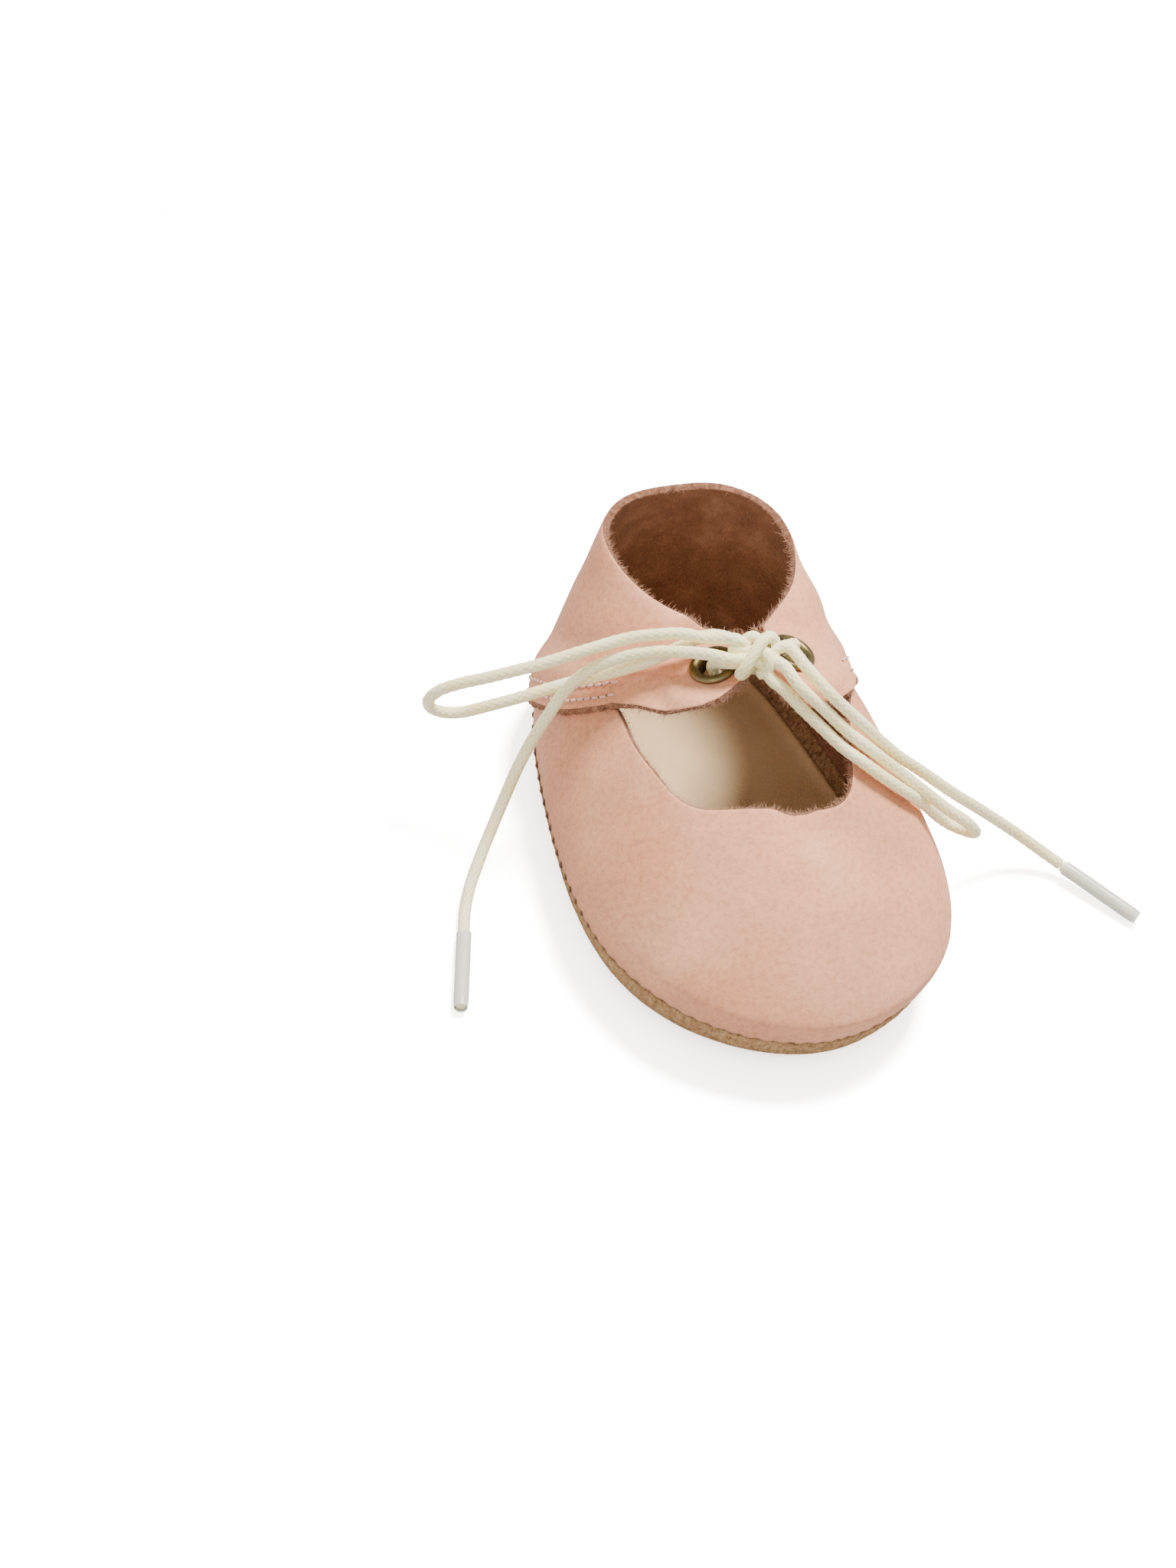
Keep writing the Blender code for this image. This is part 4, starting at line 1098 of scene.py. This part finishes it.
def makeAglet(side):
    a, b = [np.array(p) for p in agletEnds[side]]
    name = "aglet_" + side
    way, reach = unit(b - a), np.linalg.norm(b - a)
    tuck = way * agletLook["tuck"]
    core = braidTube([a - tuck, (a + b) / 2, b - tuck])
    steps, rings = agletLook["steps"], agletLook["rings"]
    turn = np.array(Vector(way).to_track_quat("Z", "Y").to_matrix())
    cells = [[[k * 0.1, j * 0.3, 0.0] for j in range(steps)] for k in range(rings + 1)]
    wave = fieldNoise(np.array(cells), 3, 9)
    film = []
    for k in range(rings + 1):
        share = k / rings
        size = agletLook["radius"] * (1 - 0.10 * max(0, share - 0.93) / 0.07)
        for j in range(steps):
            angle = 2 * math.pi * j / steps
            r = size - 0.00005 + agletLook["wave"] * wave[k, j]
            film.append(a + turn @ np.array([r * math.cos(angle), r * math.sin(angle), reach * share]))
    faces = sleeveFaces(rings, steps)
    shift = len(core[0])
    allFaces = list(core[1]) + [tuple(shift + i for i in face) for face in faces]
    kinds = [0] * len(core[1]) + [1] * len(faces)
    mesh = meshFrom(name + "_film", np.vstack([core[0], np.array(film)]), allFaces, kinds)
    setAttribute(mesh, "grooveShade", np.concatenate([core[2], np.ones(len(film))]))
    return addPiece(name + "_film", mesh, ("cord", "film"), (name,))


lacePieces = makeLace()
aglets = {side: makeAglet(side) for side in agletEnds}
print("lace made")

# repeats: stitches and fibres set out by one node group


def scatterGroup():
    group = bpy.data.node_groups.new("scatter", "GeometryNodeTree")
    for name, kind in (("Places", "Geometry"), ("Template", "Object"), ("Finish", "Material")):
        group.interface.new_socket(name, in_out="INPUT", socket_type="NodeSocket" + kind)
    group.interface.new_socket("Geometry", in_out="OUTPUT", socket_type="NodeSocketGeometry")
    nodes, links = group.nodes, group.links
    start, end = nodes.new("NodeGroupInput"), nodes.new("NodeGroupOutput")
    info = nodes.new("GeometryNodeObjectInfo")
    put = nodes.new("GeometryNodeInstanceOnPoints")
    real = nodes.new("GeometryNodeRealizeInstances")
    paint = nodes.new("GeometryNodeSetMaterial")
    links.new(start.outputs["Template"], info.inputs["Object"])
    links.new(start.outputs["Places"], put.inputs["Points"])
    links.new(info.outputs["Geometry"], put.inputs["Instance"])
    for name, socket in (("turn", "Rotation"), ("size", "Scale")):
        read = nodes.new("GeometryNodeInputNamedAttribute")
        read.data_type = "FLOAT_VECTOR"
        read.inputs["Name"].default_value = name
        links.new(read.outputs["Attribute"], put.inputs[socket])
    links.new(put.outputs["Instances"], real.inputs["Geometry"])
    links.new(real.outputs["Geometry"], paint.inputs["Geometry"])
    links.new(start.outputs["Finish"], paint.inputs["Material"])
    links.new(paint.outputs["Geometry"], end.inputs["Geometry"])
    return group


scatterNodes = scatterGroup()


def scatter(name, template, places, turns, sizes, finish):
    mesh = bpy.data.meshes.new(name + "_places")
    mesh.from_pydata([tuple(p) for p in places], [], [])
    for label, values in (("turn", turns), ("size", sizes)):
        layer = mesh.attributes.new(label, "FLOAT_VECTOR", "POINT")
        layer.data.foreach_set("vector", np.asarray(values, np.float32).ravel())
    holder = stand(name + "_places", mesh)
    modifier = holder.modifiers.new("scatter", "NODES")
    modifier.node_group = scatterNodes
    given = {"Template": template, "Finish": finishes[finish]}
    for item in scatterNodes.interface.items_tree:
        if item.in_out == "INPUT" and item.name in given:
            modifier[item.identifier] = given[item.name]
    deps = bpy.context.evaluated_depsgraph_get()
    made = bpy.data.meshes.new_from_object(holder.evaluated_get(deps), depsgraph=deps)
    bpy.data.objects.remove(holder, do_unlink=True)
    made.name = name
    made.shade_smooth()
    piece = stand(name, made)
    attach(piece, "root")


# a thread or fibre one unit long along X, bowed towards Z
def arcTemplate(name, bend, radius, sides, rings, taper):
    points = []
    for k in range(rings):
        share = k / (rings - 1)
        x, z = share - 0.5, bend * (1 - (2 * share - 1) ** 2)
        size = radius * (1 - (1 - taper) * abs(2 * share - 1) ** 3)
        for j in range(sides):
            angle = 2 * math.pi * j / sides
            points.append((x, size * math.cos(angle), z + size * math.sin(angle)))
    faces = sleeveFaces(rings - 1, sides)
    faces.append(tuple(range(sides))[::-1])
    faces.append(tuple((rings - 1) * sides + j for j in range(sides)))
    return stand(name, meshFrom(name, points, faces))


def turnFor(way, normal):
    x = unit(way)
    z = unit(normal - x * (normal @ x))
    return tuple(Matrix((x, np.cross(z, x), z)).transposed().to_euler())


def alongLine(line, normals, pitch):
    run = runOf(line)
    stops = np.arange(pitch / 2, run[-1] - pitch / 2, pitch)
    at = readLine(line, run, stops)
    return at, readLine(line, run, stops + pitch * 0.2) - at, readLine(normals, run, stops)


stitchLook = {
    "length": 0.0016, "thick": 0.00062, "sunk": 0.00018,
    "hole": 0.00042, "holeSunk": 0.00008,
    "seamLength": 0.0019, "seamThick": 0.00055,
    "template": 0.34,    # the template's own thickness
}


def makeStitches():
    template = arcTemplate("stitch_template", 0.10, stitchLook["template"] / 2, 8, 9, 0.55)
    places, turns, sizes, holes = [], [], [], []
    thick = stitchLook["thick"] / stitchLook["template"]
    for line, normals in stitchRows:
        at, way, normal = alongLine(line, normals, upperLook["stitchPitch"])
        for p, direction, n in zip(at, way, normal):
            if n @ (p - np.array([0, p[1], 0.02])) < 0:
                n = -n
            ahead = unit(direction) * upperLook["stitchPitch"] / 2
            places.append(p - n * stitchLook["sunk"])
            holes.append((p + ahead - n * stitchLook["holeSunk"], turnFor(direction, n)))
            turns.append(turnFor(direction, n))
            sizes.append((stitchLook["length"], thick, thick))
    scatter("heel_piece_stitches", template, places, turns, sizes, "pinkThread")
    # painted shade: a small dark brown blob at each stitch's end stands for the shade in its needle hole
    hole = stitchLook["hole"]
    scatter("needle_holes", template, [h[0] for h in holes], [h[1] for h in holes],
            [(hole, hole / stitchLook["template"], hole / 0.5)] * len(holes), "brownThreadAndHoleShade")
    places, turns, sizes = [], [], []
    w = np.arange(0, seamRound, upperLook["seamPitch"])
    half = np.where(w <= seamToHeel, w / seamToHeel, 1 + (w - seamToHeel) / (seamRound - seamToHeel))
    low = lastPoints(half, np.full(len(half), 0.0))
    high = lastPoints(half, np.full(len(half), 0.03))
    out = outward(half, np.full(len(half), 0.01))
    along = seamPoint(half)[1]
    thick = stitchLook["seamThick"] / stitchLook["template"]
    for a, b, n, share in zip(low, high, out, along):
        size = 0.35 + 0.65 * float(smoothStep((share - 0.22) / 0.2))    # smaller round the toe
        up = unit(b - a)
        places.append(a + n * 0.00002 - up * 0.0002)
        turns.append(turnFor(up, n))
        sizes.append((stitchLook["seamLength"] * size, thick * size, thick * size))
    scatter("sole_seam_stitches", template, places, turns, sizes, "brownThreadAndHoleShade")
    bpy.data.objects.remove(template, do_unlink=True)


makeStitches()
print("stitches made")

fibreLook = {
    "edge": 8800, "short": 0.00065, "long": 0.0022, "thick": 0.00006, "seed": 7,
    "cord": 260, "cordShort": 0.0004, "cordMore": 0.0007, "cordThick": 0.00003, "cordSeed": 11,
}


def edgeFibres(lines):
    rng = random.Random(fibreLook["seed"])
    template = arcTemplate("leather_fibre_template", 0.16, 0.5, 3, 4, 0.3)
    places, turns, sizes = [], [], []
    total = sum(len(line[0]) for line in lines)
    for line, away, normals in lines:
        for _ in range(int(fibreLook["edge"] * len(line) / total)):
            i = rng.randrange(len(line))
            across = rng.random()
            p = line[i] - normals[i] * leather * across
            way = unit(away[i] + np.array([rng.gauss(0, 0.6), rng.gauss(0, 0.6), rng.gauss(0, 0.6)]))
            size = fibreLook["short"] + (fibreLook["long"] - fibreLook["short"]) * rng.random() ** 4
            places.append(p + way * size * 0.42)
            bow = np.array([rng.gauss(0, 1), rng.gauss(0, 1), rng.gauss(0, 1) + 0.01])
            turns.append(turnFor(way, bow))
            sizes.append((size, fibreLook["thick"], fibreLook["thick"]))
    scatter("leather_fibres", template, places, turns, sizes, "fibre")
    bpy.data.objects.remove(template, do_unlink=True)


# places, outward ways and normals along a grid's cut edge
def gridEdge(grid, edge, nextIn, first=0, last=None):
    line = grid[first:last, edge]
    return line, unit(line - grid[first:last, nextIn]), gridNormals(grid)[first:last, edge]


sewn = int(np.searchsorted(heelShares, 0.84))
edgeFibres([
    gridEdge(heel, -1, -2), gridEdge(heel, 0, 1, 0, sewn), gridEdge(heel, 0, 1, len(heel) - sewn),
    gridEdge(vamp, -1, -2),
])


def cordFibres():
    rng = random.Random(fibreLook["cordSeed"])
    template = arcTemplate("cord_fibre_template", 0.2, 0.5, 3, 4, 0.3)
    places, turns, sizes = [], [], []
    for _, centre in lacePieces.values():
        for _ in range(fibreLook["cord"]):
            i = rng.randrange(1, len(centre) - 1)
            way = unit(centre[i + 1] - centre[i - 1])
            side = unit(np.cross(way, [rng.gauss(0, 1), rng.gauss(0, 1), rng.gauss(0, 1)]))
            lean = unit(side + way * rng.gauss(0, 1.2))
            size = fibreLook["cordShort"] + fibreLook["cordMore"] * rng.random() ** 3
            places.append(centre[i] + side * cord * 0.48 + lean * size * 0.4)
            turns.append(turnFor(lean, side + way * 0.1))
            sizes.append((size, fibreLook["cordThick"], fibreLook["cordThick"]))
    scatter("cord_fibres", template, places, turns, sizes, "cordFibre")
    bpy.data.objects.remove(template, do_unlink=True)


cordFibres()
print("fibres made")

# floor and light

light = {
    "key": 31.0, "keySize": 0.30, "keyPlace": (0.27, 0.33, 1.02),
    "fill": 3.2, "fillSize": 0.80, "fillPlace": (-0.7, -0.6, 0.7),
    "aim": (0, 0, 0.02),
    "sky": 0.95,
    "floor": 0.55, "floorSize": 3.0, "floorHeight": -0.0003,
    "seenFloor": 7.0,    # a white backdrop in the picture that doesn't brighten the shoe
}


# one value for what the camera sees and another for the light that it throws back
def whenSeen(tree, socket, plain, seen):
    path = tree.nodes.new("ShaderNodeLightPath")
    choice = tree.nodes.new("ShaderNodeMapRange")
    choice.inputs["To Min"].default_value = plain
    choice.inputs["To Max"].default_value = seen
    tree.links.new(path.outputs["Is Camera Ray"], choice.inputs["Value"])
    tree.links.new(choice.outputs["Result"], socket)


def makeStage():
    mesh = bpy.data.meshes.new("floor")
    size, low = light["floorSize"], light["floorHeight"]
    corners = [(-size, -size, low), (size, -size, low), (size, size, low), (-size, size, low)]
    mesh.from_pydata(corners, [], [(0, 1, 2, 3)])
    floor = stand("floor", mesh)
    paper = bpy.data.materials.new("paper")
    paper.use_nodes = True
    nodes = paper.node_tree.nodes
    nodes.remove(nodes["Principled BSDF"])
    shader = nodes.new("ShaderNodeBsdfDiffuse")
    paper.node_tree.links.new(shader.outputs[0], nodes["Material Output"].inputs["Surface"])
    whenSeen(paper.node_tree, shader.inputs["Color"], light["floor"], light["seenFloor"])
    mesh.materials.append(paper)
    world = bpy.data.worlds.new("studio")
    world.use_nodes = True
    sky = world.node_tree.nodes["Background"].inputs
    sky["Color"].default_value = (1, 1, 1, 1)
    whenSeen(world.node_tree, sky["Strength"], light["sky"], light["sky"] * light["seenFloor"])
    bpy.context.scene.world = world
    for name in ("key", "fill"):
        data = bpy.data.lights.new(name, "AREA")
        data.energy, data.size = light[name], light[name + "Size"]
        lamp = stand(name, data)
        lamp.location = light[name + "Place"]
        way = Vector(light["aim"]) - lamp.location
        lamp.rotation_euler = way.to_track_quat("-Z", "Y").to_euler()


makeStage()
print("stage made")
